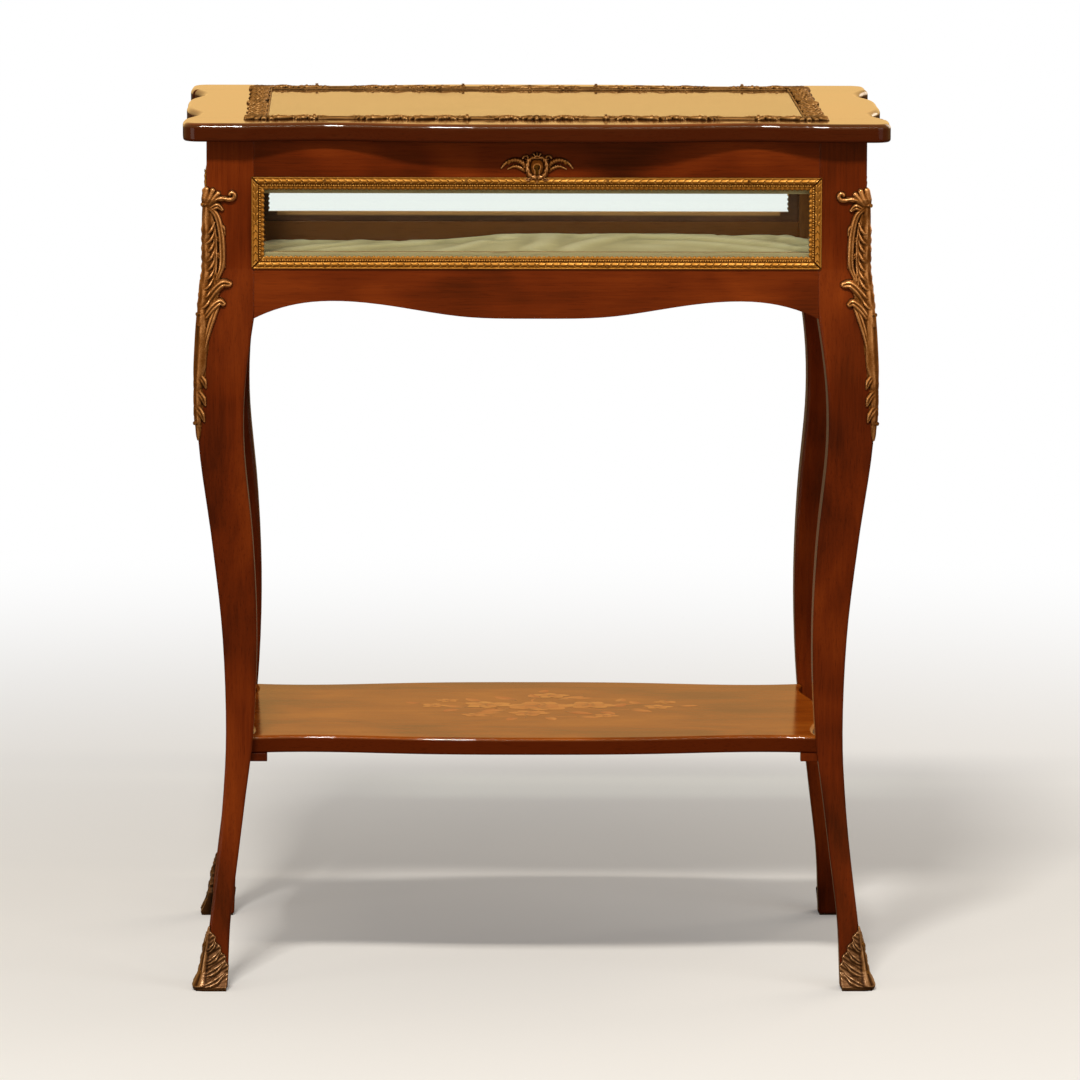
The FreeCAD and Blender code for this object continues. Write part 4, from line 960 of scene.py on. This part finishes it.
def on_leg(x_side, y_side):
    """Wraps (round the corner, height, thickness) onto one leg."""
    def place(u, z, h):
        """Bends points round the arris and out to the leg's face."""
        out = swing(z)
        turn = np.radians(45 + 45 * np.clip(u / ARRIS, -1, 1))
        past = np.maximum(np.abs(u) - ARRIS, 0)
        x = HALF_W + out - ARRIS + (ARRIS + h) * np.cos(turn) - np.where(u > 0, past, 0)
        y = HALF_D + out - ARRIS + (ARRIS + h) * np.sin(turn) - np.where(u < 0, past, 0)
        return np.stack([x * x_side, y * y_side, z], axis=1)
    return place


print("leg stands out by", swing([0, 224.2, 531]).round(1).tolist(), "mm at floor, ankle and knee")

# %% Corner mount
mount = board(-30, 30, 482, 706, 0.6)


def pair(points, *sizes, **more):
    """The same leaf on both faces of the leg."""
    for side in (-1, 1):
        leaf(mount, [(side * u, v) for u, v in points], *sizes, **more)


leaf(mount, [(0, 691), (0, 665), (0, 639), (0, 613), (0, 587), (0, 561), (0, 535), (0, 509),
             (0, 485)], [8.0, 12.8, 14.6, 13.4, 10.0, 8.4, 6.8, 5.4, 1.6],
     [2.6, 3.3, 3.6, 3.6, 3.4, 3.0, 2.8, 2.4, 1.4], lobes=9)
leaf(mount, [(0, 700), (0, 668), (0, 640), (0, 612), (0, 585)], [3.4, 4.4, 5.0, 4.8, 5.0],
     [3.8, 4.6, 5.0, 5.0, 4.8], lobes=6, vein=0.12)
leaf(mount, [(0, 592), (0, 570), (0, 548), (0, 536)], [5.0, 8.2, 7.8, 4.8],
     [4.8, 4.4, 3.9, 3.4], vein=0.25)
leaf(mount, [(0, 545), (0, 524), (0, 503), (0, 485)], [5.6, 5.4, 4.6, 1.8],
     [3.6, 3.5, 3.2, 2.2], lobes=4, vein=0.2)
for v, wide in ((535, 6.6), (520, 6.2), (506, 5.0)):
    pair([(0.5, v + 8), (wide - 1, v + 1), (wide + 1.2, v - 5)], [2.8, 3.4, 1.2],
         [3.2, 3.4, 2.2], vein=0.3)
pair([(2, 686), (8.5, 679), (12.0, 666), (13.4, 651), (13.2, 636), (10.0, 624)],
     [2.6, 3.3, 3.5, 3.5, 3.3, 2.6], [3.9, 4.5, 4.8, 4.7, 4.5, 3.9], vein=0.15)
pair([(4, 680), (7.0, 664), (7.6, 647), (7.0, 630), (5.0, 612)], [2.2, 3.0, 3.2, 3.0, 2.0],
     [3.4, 4.1, 4.3, 4.2, 3.6], lobes=5, vein=0.2)
for v in range(598, 664, 8):
    pair([(0.5, v), (4.0, v + 4.5), (7.0, v + 11)], [1.4, 2.2, 1.0], [4.2, 5.0, 3.6])
for v in (668, 654, 640):
    pair([(9.5, v + 5), (14.0, v), (15.6, v - 6)], [2.6, 2.8, 1.2], [3.8, 4.0, 2.8], vein=0.2)
pair([(3, 634), (9.0, 624), (9.5, 610), (5, 592)], [3.4, 5.4, 5.4, 3.6], [3.6, 4.1, 4.1, 3.5],
     lobes=3, vein=0.25)
pair([(4, 605), (9, 614), (15.0, 619.8), (21.0, 619.6)], [4.0, 5.2, 5.0, 3.4],
     [4.0, 5.2, 5.4, 4.2], vein=0.22)
pair([(4, 592), (9.5, 600), (14.5, 604), (18.0, 602.6)], [3.8, 4.8, 4.4, 2.8],
     [3.8, 4.9, 5.0, 3.8], vein=0.22)
pair([(13.0, 601), (9.8, 590), (6.8, 577), (4.2, 560)], [3.0, 3.6, 3.2, 2.0],
     [3.8, 4.2, 4.0, 3.3], vein=0.2)
pair([(2, 687), (8, 692.5), (14.5, 693.5), (20, 692.4)], [3.0, 3.4, 3.2, 2.7],
     [3.8, 4.4, 4.3, 3.9], lobes=3)
pair(curl(21.2, 696.8, 4.3, 250, 0.72), [2.6, 2.5, 2.2], [3.9, 4.4, 4.2])
pair([(3, 684), (9, 687.0), (13.5, 684)], [3.2, 3.8, 1.8], [3.8, 4.6, 3.0], vein=0.25)
fan(mount, 0, 686, 50, 130, 5, 15.5, 3.4, 4.6)
for v, radius, high in ((688.5, 2.4, 5.0), (594, 2.4, 5.0), (499.5, 2.0, 3.4)):
    boss(mount, 0, v, radius, high)
print("corner mount: points inside an outline", int((mount["edge"] > 0).sum()))

# %% Corner mounts on the legs
for corner, x_side, y_side in CORNERS:
    bent = shell(mount, on_leg(x_side, y_side), rim=0.8, base=-0.3)
    made = piece("knee_mount_" + corner, [bent], mount_gilt, "case",
                 ["corner_mount_" + corner])
print("corner mounts:", len(CORNERS), "with", len(made.data.polygons), "faces each")

# %% [markdown]
# ## Shoes
#
# The feet end in cast shoes: a flared toe with a rim, and a leaf whose point climbs the leg's outer
# edge. They are darker than the other mounts, because shoes meet mops and brooms and lose their
# gilding first. The same board and wrap serve, with a lift that swells towards the toe.

# %% Shoes
# Heights above the floor and how far the shoe swells there.
TOE = ((0.0, 6.6), (4.0, 7.6), (9.0, 5.6), (16.0, 3.4), (30.0, 2.2), (46.0, 1.5), (56.0, 0.8))
FOOT_FACE, FOOT_TOP = 21.0, 55.5
SOLE_IN, SOLE_OUT, SOLE_THICK = 16.0, 10.5, 2.0
shoe = board(-23, 23, 0, 57, 0.55)
away, up = np.abs(shoe["u"]), shoe["v"]
leaf_width = np.interp(up, [0, 22, 28, 35, 43, 50, FOOT_TOP],
                       [FOOT_FACE, FOOT_FACE, 18.5, 14.0, 8.8, 4.4, 0.3])
leaf_width -= np.where(up > 21, 1.8 * np.abs(np.sin(math.pi * (up - 21) / 8.6)) ** 2, 0)
outline = np.minimum(leaf_width - away, up + 0.01)
shoe["edge"] = outline.copy()
ribs = 0.5 + 0.5 * np.cos(2 * math.pi * (up - away * 0.7) / 4.4)
shoe["high"] = 0.8 + 0.5 * ribs * np.clip(away / 3, 0, 1) * np.clip((up - 7) / 4, 0, 1)
for side in (-1, 1):
    for root, tip, wide in (((1, 4), (19, 16), 5.0), ((1, 13), (17, 25), 5.0),
                            ((1, 23), (12.5, 35), 4.6), ((1, 33), (7.5, 45), 3.8)):
        bend = ((root[0] + tip[0]) / 2 + 0.5, (root[1] + tip[1]) / 2 - 1.5)
        leaf(shoe, [(side * x, z) for x, z in (root, bend, tip)], [wide * 0.6, wide, 0.9],
             [1.8, 2.9, 1.5], lobes=3, vein=0.45)
    leaf(shoe, [(0, 2.6), (side * FOOT_FACE, 2.6)], [2.2, 2.2], [1.5, 1.5])
leaf(shoe, [(0, 5), (0, 30), (0, 54)], [2.6, 2.2, 0.9], [2.9, 2.7, 1.4], vein=0.3)
shoe["edge"] = np.minimum(shoe["edge"], outline + 0.01)


def toe_lift(u, v):
    """How far the shoe swells out at a height above the floor, all round."""
    at, out = np.array(TOE).T
    return np.interp(v, at, out)


def sole(x_side, y_side):
    """The plate under the foot as one closed block."""
    corners = [(HALF_W + x, HALF_D + y) for x, y in ((-SOLE_IN, -SOLE_IN), (SOLE_OUT, -SOLE_IN),
                                                     (SOLE_OUT, SOLE_OUT), (-SOLE_IN, SOLE_OUT))]
    points = np.array([(x * x_side, y * y_side, z) for z in (0.0, SOLE_THICK) for x, y in corners])
    quads = np.array([(0, 3, 2, 1), (4, 5, 6, 7), (0, 1, 5, 4), (1, 2, 6, 5), (2, 3, 7, 6),
                      (3, 0, 4, 7)])
    return points, quads[:, ::x_side * y_side], np.full(8, 0.2)


for corner, x_side, y_side in CORNERS:
    upper = shell(shoe, on_leg(x_side, y_side), rim=0.5, base=-0.3, lift=toe_lift)
    made = piece("shoe_" + corner, [upper, sole(x_side, y_side)], dark_bronze, "case",
                 ["sabot_" + corner])
print("shoes:", len(CORNERS), "with", len(made.data.polygons), "faces each")

# %% [markdown]
# ## Escutcheon
#
# The keyhole sits in the middle of a small winged mount. The wings are ribbed like a shell's edge,
# a pair of curls wraps the hole, and a few leaves top it. It overlaps the window's moulding, so it
# stands further out than its neighbours.

# %% Escutcheon
KEYHOLE_Z = 721.0
plate = board(-33, 33, -15, 14, 0.4)
WING = [(8, -3.0), (12, 3.6), (18.5, 6.4), (26, 4.2), (31, -1.2)]
UNDER_WING = [(9, -4.0), (14, -0.6), (19.5, 0.9), (25.5, -1.8)]
HOOP = [(1, 9.4), (6.2, 7.2), (8.4, 1), (6.6, -6.0), (1.5, -9.4)]
LOW_LEAF = [(3, -8), (7.4, -10.6), (11.2, -10.2)]
for side in (-1, 1):
    wing, under_wing, hoop, low_leaf = ([(side * x, z) for x, z in line]
                                        for line in (WING, UNDER_WING, HOOP, LOW_LEAF))
    leaf(plate, wing, [2.6, 3.0, 2.6, 2.1, 0.7], [3.6, 3.4, 3.0, 2.4, 1.2], lobes=13)
    leaf(plate, under_wing, [1.9, 2.4, 1.9, 0.6], [2.4, 2.6, 2.2, 1.0], lobes=8)
    leaf(plate, hoop, [2.2, 3.0, 2.8, 3.0, 2.2], [4.6, 5.0, 5.2, 5.0, 4.4], lobes=6)
    leaf(plate, curl(side * 9.4, 8.0, 2.9, 90 - side * 90, side * 0.85), [1.2, 1.0, 0.7],
         [4.2, 4.0, 3.4])
    leaf(plate, low_leaf, [2.0, 2.2, 0.7], [4.6, 4.2, 2.4], vein=0.3)
fan(plate, 0, 7.5, 25, 155, 5, 5.2, 1.6, 5.2)
leaf(plate, [(0, 5.4), (0, 0), (0, -8.4)], [7.6, 8.2, 6.4], [2.6, 3.0, 2.6])
leaf(plate, [(0, -7), (0, -13.4)], [3.0, 0.8], [4.8, 3.4], vein=0.3)
key_slot = np.minimum(1.1 - np.abs(plate["u"]), np.minimum(plate["v"] + 7.0, -plate["v"]))
hole = np.maximum(2.2 - np.hypot(plate["u"], plate["v"]), key_slot)
plate["edge"] = np.minimum(plate["edge"], -hole)


def on_front_rail(u, v, h):
    """Hangs a board on the front rail, its middle at the keyhole."""
    return np.stack([u, -HALF_D - h, KEYHOLE_Z + v], axis=1)


escutcheon = piece("winged_escutcheon", [shell(plate, on_front_rail, rim=0.6, base=0.0)],
                   mount_gilt, "case", ["escutcheon"])
print(escutcheon.name, len(escutcheon.data.polygons), "faces")

# %% [markdown]
# ## Satin lining
#
# A sheet of pale green satin lies over thin wadding on the case's floor. It was cut a little too
# large and has slackened with age, so it lies in low soft folds. Folds could be drawn with noise,
# but noise looks like a rough ground. Real cloth buckles in long connected ridges, so Blender's
# cloth is given a sheet that grows by nearly two hundredths while its border stays where it is.
#
# The sheet fills the cross-shaped floor between the leg posts, half a millimetre short of the wood.

# %% Lining sheet
# Half sizes of the sheet and of the space between the leg posts, then heights above the floor and
# how far under the sheet the flat board lies that holds it up.
LINING_X, LINING_Y, POST_X, POST_Y = 264.2, 163.2, 243.2, 142.2
LINING_LOW, LINING_REST, BOARD_BELOW = 617.4, 620.9, 1.6


def stations(outer, post, count):
    """Grid lines across the floor that meet the leg posts' faces exactly."""
    end = np.linspace(post, outer, 5)
    return np.concatenate([-end[::-1], np.linspace(-post, post, count)[1:-1], end])


line_x, line_y = stations(LINING_X, POST_X, 91), stations(LINING_Y, POST_Y, 55)
grid_x, grid_y = np.meshgrid(line_x, line_y, indexing="ij")
middle_x, middle_y = (line_x[1:] + line_x[:-1]) / 2, (line_y[1:] + line_y[:-1]) / 2
cloth_cells = (np.abs(middle_x)[:, None] < POST_X) | (np.abs(middle_y)[None, :] < POST_Y)
around = cells_round(cloth_cells)
cloth_points, hem = around > 0, (around > 0) & (around < 4)
number = numbered(cloth_points)
i, j = np.nonzero(cloth_cells)
cloth_quads = np.stack([number[i, j], number[i + 1, j], number[i + 1, j + 1], number[i, j + 1]],
                       axis=1)
rng = np.random.default_rng(5)
sway = np.zeros(grid_x.shape)
for _ in range(14):
    turn, length = rng.normal(1.35, 0.45), rng.uniform(80, 210)
    wave = grid_x * math.cos(turn) + grid_y * math.sin(turn)
    sway += rng.uniform(0.2, 0.5) * np.sin(2 * math.pi * wave / length + rng.uniform(0, 6.3))
sheet_grid = np.stack([grid_x, grid_y, LINING_REST + np.where(hem, 0, sway)], axis=-1)
sheet_points = sheet_grid[cloth_points]
print("lining grid:", len(sheet_points), "points,", int(hem.sum()), "on the border")


# %% Let the cloth settle
def settled(points, quads, pinned, frames=30, grow=0.018):
    """The sheet's points after a short cloth simulation on a flat board."""
    sheet_mesh = bpy.data.meshes.new("lining_sheet")
    sheet_mesh.from_pydata((points * MM).tolist(), [], quads.tolist())
    sheet = bpy.data.objects.new("lining_sheet", sheet_mesh)
    support_mesh = bpy.data.meshes.new("wadding_board")
    support_mesh.from_pydata([(x, y, (LINING_REST - BOARD_BELOW) * MM) for x, y in
                              ((-0.3, -0.2), (0.3, -0.2), (0.3, 0.2), (-0.3, 0.2))],
                             [], [(0, 1, 2, 3)])
    support = bpy.data.objects.new("wadding_board", support_mesh)
    for thing in (sheet, support):
        bpy.context.scene.collection.objects.link(thing)
    support.modifiers.new("support", "COLLISION")
    support.collision.thickness_outer = 0.001
    support.collision.cloth_friction = 20
    held = sheet.vertex_groups.new(name="held")
    held.add(np.nonzero(pinned)[0].tolist(), 1.0, "REPLACE")
    cloth = sheet.modifiers.new("cloth", "CLOTH")
    cloth.settings.quality = 6
    cloth.settings.mass = 0.2
    cloth.settings.tension_stiffness = cloth.settings.compression_stiffness = 20
    cloth.settings.shear_stiffness = 8
    cloth.settings.bending_stiffness = 12
    cloth.settings.shrink_min = -grow
    cloth.settings.vertex_group_mass = "held"
    cloth.settings.effector_weights.gravity = 0.35
    cloth.collision_settings.distance_min = 0.001
    cloth.point_cache.frame_end = frames
    for moment in range(1, frames + 1):
        bpy.context.scene.frame_set(moment)
    shown = sheet.evaluated_get(bpy.context.evaluated_depsgraph_get())
    result = np.empty(len(points) * 3)
    shown.data.vertices.foreach_get("co", result)
    bpy.context.scene.frame_set(1)
    for thing in (sheet, support):
        bpy.data.objects.remove(thing, do_unlink=True)
    return result.reshape(-1, 3) / MM


rumpled = settled(sheet_points, cloth_quads, hem[cloth_points])
print("folds from", rumpled[:, 2].min().round(2), "to", rumpled[:, 2].max().round(2), "mm")

# %% [markdown]
# The folds may rise three millimetres above the floor of the sheet and no more, so that nothing
# laid in the case would lean on them. Along the right of the back apron the sheet was tucked too
# full, and there it climbs the wood by a few millimetres. A hem turns down to the board, and a
# second layer underneath closes the pad. The crease_shade value, which is the height against its
# blurred surroundings, darkens the valleys a little as painted shade.

# %% Finished lining
FOLD_LOW, FOLD_HIGH, CLIMB, DRIFT = LINING_REST - 1.2, 623.9, 5.5, 3
FOLD_ROOM = FOLD_HIGH - FOLD_LOW
# Where the climb starts and how far on it is full, to the right and to the back.
CLIMB_RIGHT, CLIMB_BACK = (-85, 75), (10, 150)
on_hem = hem[cloth_points]
folded = rumpled.copy()
folded[:, 2] = FOLD_LOW + FOLD_ROOM * np.clip((rumpled[:, 2] - FOLD_LOW) / FOLD_ROOM, 0, 1) ** 1.1
folded[:, :2] = np.clip(folded[:, :2], sheet_points[:, :2] - DRIFT, sheet_points[:, :2] + DRIFT)
folded[on_hem, :2] = sheet_points[on_hem, :2]
to_right = eased((folded[:, 0] - CLIMB_RIGHT[0]) / CLIMB_RIGHT[1])
to_back = eased((folded[:, 1] - CLIMB_BACK[0]) / CLIMB_BACK[1])
folded[:, 2] += CLIMB * to_right * to_back
heights = np.full(grid_x.shape, LINING_REST)
heights[cloth_points] = folded[:, 2]
# Painted shade: the valleys of the folds get low values, which darken the satin there.
crease_shade = np.clip(0.5 + (heights - blurred(heights, 3)) / 2.4, 0, 1)[cloth_points]
below = sheet_points.copy()
below[:, 2] = LINING_LOW
count = len(folded)
sides = dict.fromkeys((a, b) for quad in cloth_quads.tolist()
                      for a, b in zip(quad, quad[1:] + quad[:1]))
hem_quads = np.array([(b, a, a + count, b + count) for a, b in sides if (b, a) not in sides])
lining_shell = (np.vstack([folded, below]),
                np.vstack([cloth_quads, cloth_quads[:, ::-1] + count, hem_quads]),
                np.concatenate([crease_shade, np.full(count, 0.3)]))


def satin(name, dull, plain, bright):
    """Woven silk: soft sheen, fine weft threads and a faint unevenness from age."""
    finish, tree, shader = new_finish(name)
    threads = noise(tree, grained(tree, "x", 260, 3600), 1.0, 2.0)
    cross = noise(tree, grained(tree, "y", 300, 3000), 1.0, 2.0)
    stains = noise(tree, here(tree), 16.0, 4.0, 0.5)
    # Painted shade in the fold valleys, read from the crease values on the mesh.
    crease_shade_tone = put(tree, "Attribute", attribute_name="wear_and_shade").outputs["Fac"]
    level = sums(tree, (crease_shade_tone, 0.3), (stains, 0.55), (threads, 0.15))
    weave = sums(tree, (threads, 0.6), (cross, 0.4))
    wire(tree, shader, IOR=1.4, Sheen_Weight=0.25, Sheen_Roughness=0.35,
         Sheen_Tint=(0.9, 0.95, 0.85, 1),
         Base_Color=ramp(tree, level, (0.32, dull), (0.5, plain), (0.7, bright)),
         Roughness=rescale(tree, threads, new=(0.3, 0.48)),
         Normal=bumped(tree, weave, 0.3, 0.0002))
    return finish


green_satin = satin("pale_green_satin", paint(168, 160, 118), paint(193, 184, 139),
                    paint(212, 205, 165))
lining = piece("satin_lining", [lining_shell], green_satin, "case", ["lining_pad"],
               sharp=75)
rounder = lining.modifiers.new("rounder", "SUBSURF")
rounder.levels = rounder.render_levels = 1
print(lining.name, len(lining.data.polygons), "faces")

# %% [markdown]
# ## Flowers in the shelf
#
# The shelf's middle carries a loose spray of flowers in light woods, let into the dark veneer. The
# marquetry cutter saws every petal from thin fruitwood, dips one end in hot sand until it browns,
# and glues it in with the dark end at the flower's heart. The brown ends shade the petals.
#
# One painted texture could show all this, but separate pieces keep crisp saw lines. Each is a thin
# leaf of wood that stands a few hundredths of a millimetre proud, as old inlay does. Two numbers
# ride on the mesh: the shade, nought at the burnt end and one at the tip, and the tone, which tells
# one wood from another.

# %% Marquetry shapes
INLAY_Z = 218.0
inlay_points, inlay_quads, inlay_shade, inlay_tone = [], [], [], []


def slip(points, wide, tone, lift=0.05, count=9, burnt_side=1.0):
    """One slip of veneer along a line: half widths at even places, burnt end first."""
    line = flowing(points, count)
    run = np.gradient(line, axis=0)
    run = run / np.maximum(np.hypot(run[:, 0], run[:, 1]), 1e-9)[:, None]
    side = np.stack([-run[:, 1], run[:, 0]], axis=1)
    share = np.linspace(0, 1, count)
    half = np.interp(share, np.linspace(0, 1, len(wide)), wide)[:, None]
    first = sum(len(p) for p in inlay_points)
    rows = [line + side * half, line, line - side * half]
    inlay_points.append(np.column_stack([np.vstack(rows), np.full(3 * count, INLAY_Z + lift)]))
    for row in (0, 1):
        a = first + row * count + np.arange(count - 1)
        inlay_quads.append(np.stack([a, a + count, a + count + 1, a + 1], axis=1))
    inlay_shade.append(np.concatenate([share, share, share * burnt_side]))
    inlay_tone.append(np.full(3 * count, tone))


def blossom(x, y, size, petals, turn, tone, squash=0.8):
    """A flower: two rings of petals round a small heart, each slip a hair above the last."""
    lift = 0.06
    for ring, reach, wide in ((0, 1.0, 0.36), (1, 0.6, 0.26)):
        for k in range(petals):
            lift += 0.005
            angle = math.radians(turn + ring * 180 / petals + k * 360 / petals)
            c, s = math.cos(angle), math.sin(angle) * squash
            bend = 0.12 * size * (1 if k % 2 else -1)
            points = [(x + c * size * r * reach - s * bend * r,
                       y + s * size * r * reach + c * bend * r) for r in (0.08, 0.5, 1.0)]
            w = size * wide
            slip(points, [w * 0.3, w * 0.8, w, w * 0.86, w * 0.2],
                 tone - 0.16 * ring + 0.06 * (k % 2), lift, burnt_side=0.3)
    heart = size * 0.13
    slip([(x - heart, y), (x + heart, y)], [size * 0.05, heart, size * 0.05], 0.3, lift + 0.01, 7)


def spray_leaf(x, y, turn, size, tone, layer):
    """A pointed leaf in two halves, one browner than the other, as light falls on a folded leaf."""
    c, s = math.cos(math.radians(turn)), math.sin(math.radians(turn))
    for half, shade, lift in ((1, tone, 0.02), (-1, tone - 0.16, 0.025)):
        points = [(x + c * size * r - s * half * size * b, y + s * size * r + c * half * size * b)
                  for r, b in ((0.0, 0.0), (0.35, 0.1), (0.7, 0.09), (1.0, 0.0))]
        slip(points, [size * 0.02, size * 0.11, size * 0.1, size * 0.01], shade,
             lift + 0.01 * (layer % 4))


def stem(*points):
    """A thin stalk, laid lowest."""
    slip(points, [0.9, 1.0, 0.6], 0.42, 0.015, 14)


print("marquetry tools ready")

# %% Spray of flowers
STEMS = (((-6, -46), (2, -20), (12, 8), (10, 30)), ((8, -6), (-24, 6), (-52, 4), (-86, 22)),
         ((-30, 5), (-52, 28), (-74, 48)), ((10, 4), (40, 8), (76, -4), (112, 14)),
         ((60, 4), (84, 26), (120, 40)), ((11, 20), (2, 52), (20, 84)),
         ((-2, -34), (-28, -40), (-50, -32)), ((0, -30), (30, -42), (64, -36)))
# Flowers and buds: place, radius, petals in a ring, turn in degrees and tone.
FLOWERS = ((8, 18, 31, 7, 10, 0.58), (-38, 26, 23, 6, 35, 0.72), (53, 24, 24, 6, 0, 0.64),
           (20, 78, 17, 5, 18, 0.68), (-2, -22, 19, 6, 50, 0.56))
BUDS = ((-86, 22, 13, 5, 0, 0.66), (-74, 50, 11, 5, 30, 0.62), (114, 14, 14, 5, 12, 0.68),
        (122, 41, 11, 5, 40, 0.62), (-52, -32, 11, 5, 20, 0.6), (66, -36, 12, 5, 0, 0.62))
# Leaves: place, turn in degrees and length.
LEAVES = ((-20, 4, 215, 30), (-58, 10, 150, 26), (-64, 6, 235, 24), (-44, 40, 120, 26),
          (-12, 50, 130, 30), (26, 52, 45, 32), (6, 62, 100, 24), (34, 60, 10, 24),
          (72, 10, 60, 27), (88, 2, -40, 26), (98, 26, 110, 22), (30, -10, -35, 30),
          (62, -8, -60, 24), (-24, -14, 200, 28), (-14, -42, 250, 22), (14, -40, -75, 22),
          (40, -40, -20, 22), (-34, -38, 165, 20), (-98, 30, 140, 18), (132, 16, 20, 20),
          (80, 40, 80, 22), (10, 92, 70, 20))
for line in STEMS:
    stem(*line)
for flower in FLOWERS + BUDS:
    blossom(*flower)
for layer, (x, y, turn, size) in enumerate(LEAVES):
    spray_leaf(x, y, turn, size, 0.46 + 0.1 * math.sin(x * 0.7 + y), layer)
print("slips of veneer:", len(inlay_points))


# %% Inlaid woods
def fruitwood(name, burnt, dark, light):
    """Light woods told apart by tone, browned by the hot sand towards one end."""
    finish, tree, shader = new_finish(name)
    tone = put(tree, "Attribute", attribute_name="tone").outputs["Fac"]
    shade = put(tree, "Attribute", attribute_name="wear_and_shade").outputs["Fac"]
    fibres = noise(tree, grained(tree, "x", 30, 620), 1.0, 4.0)
    level = sums(tree, (tone, 0.85), (fibres, 0.3))
    colour = ramp(tree, level, (0.35, dark), (0.95, light))
    scorched = rescale(tree, shade, (0.0, 0.42), (0.75, 0.0))
    wire(tree, shader, IOR=1.12, Base_Color=mixed(tree, scorched, colour, burnt),
         Roughness=rescale(tree, fibres, new=(0.1, 0.2)), Normal=bumped(tree, fibres, 0.1, 0.0002))
    return finish


inlay_wood = fruitwood("inlaid_fruitwood", paint(96, 38, 8), paint(176, 78, 19),
                       paint(208, 134, 56))
inlay_shell = (np.vstack(inlay_points), np.vstack(inlay_quads)[:, ::-1],
               np.concatenate(inlay_shade))
spray = piece("shelf_flowers", [inlay_shell], inlay_wood, "case", sharp=30)
spray_tone = spray.data.attributes.new("tone", "FLOAT", "POINT")
spray_tone.data.foreach_set("value", np.concatenate(inlay_tone).astype(np.float32))
print(spray.name, len(spray.data.polygons), "faces")
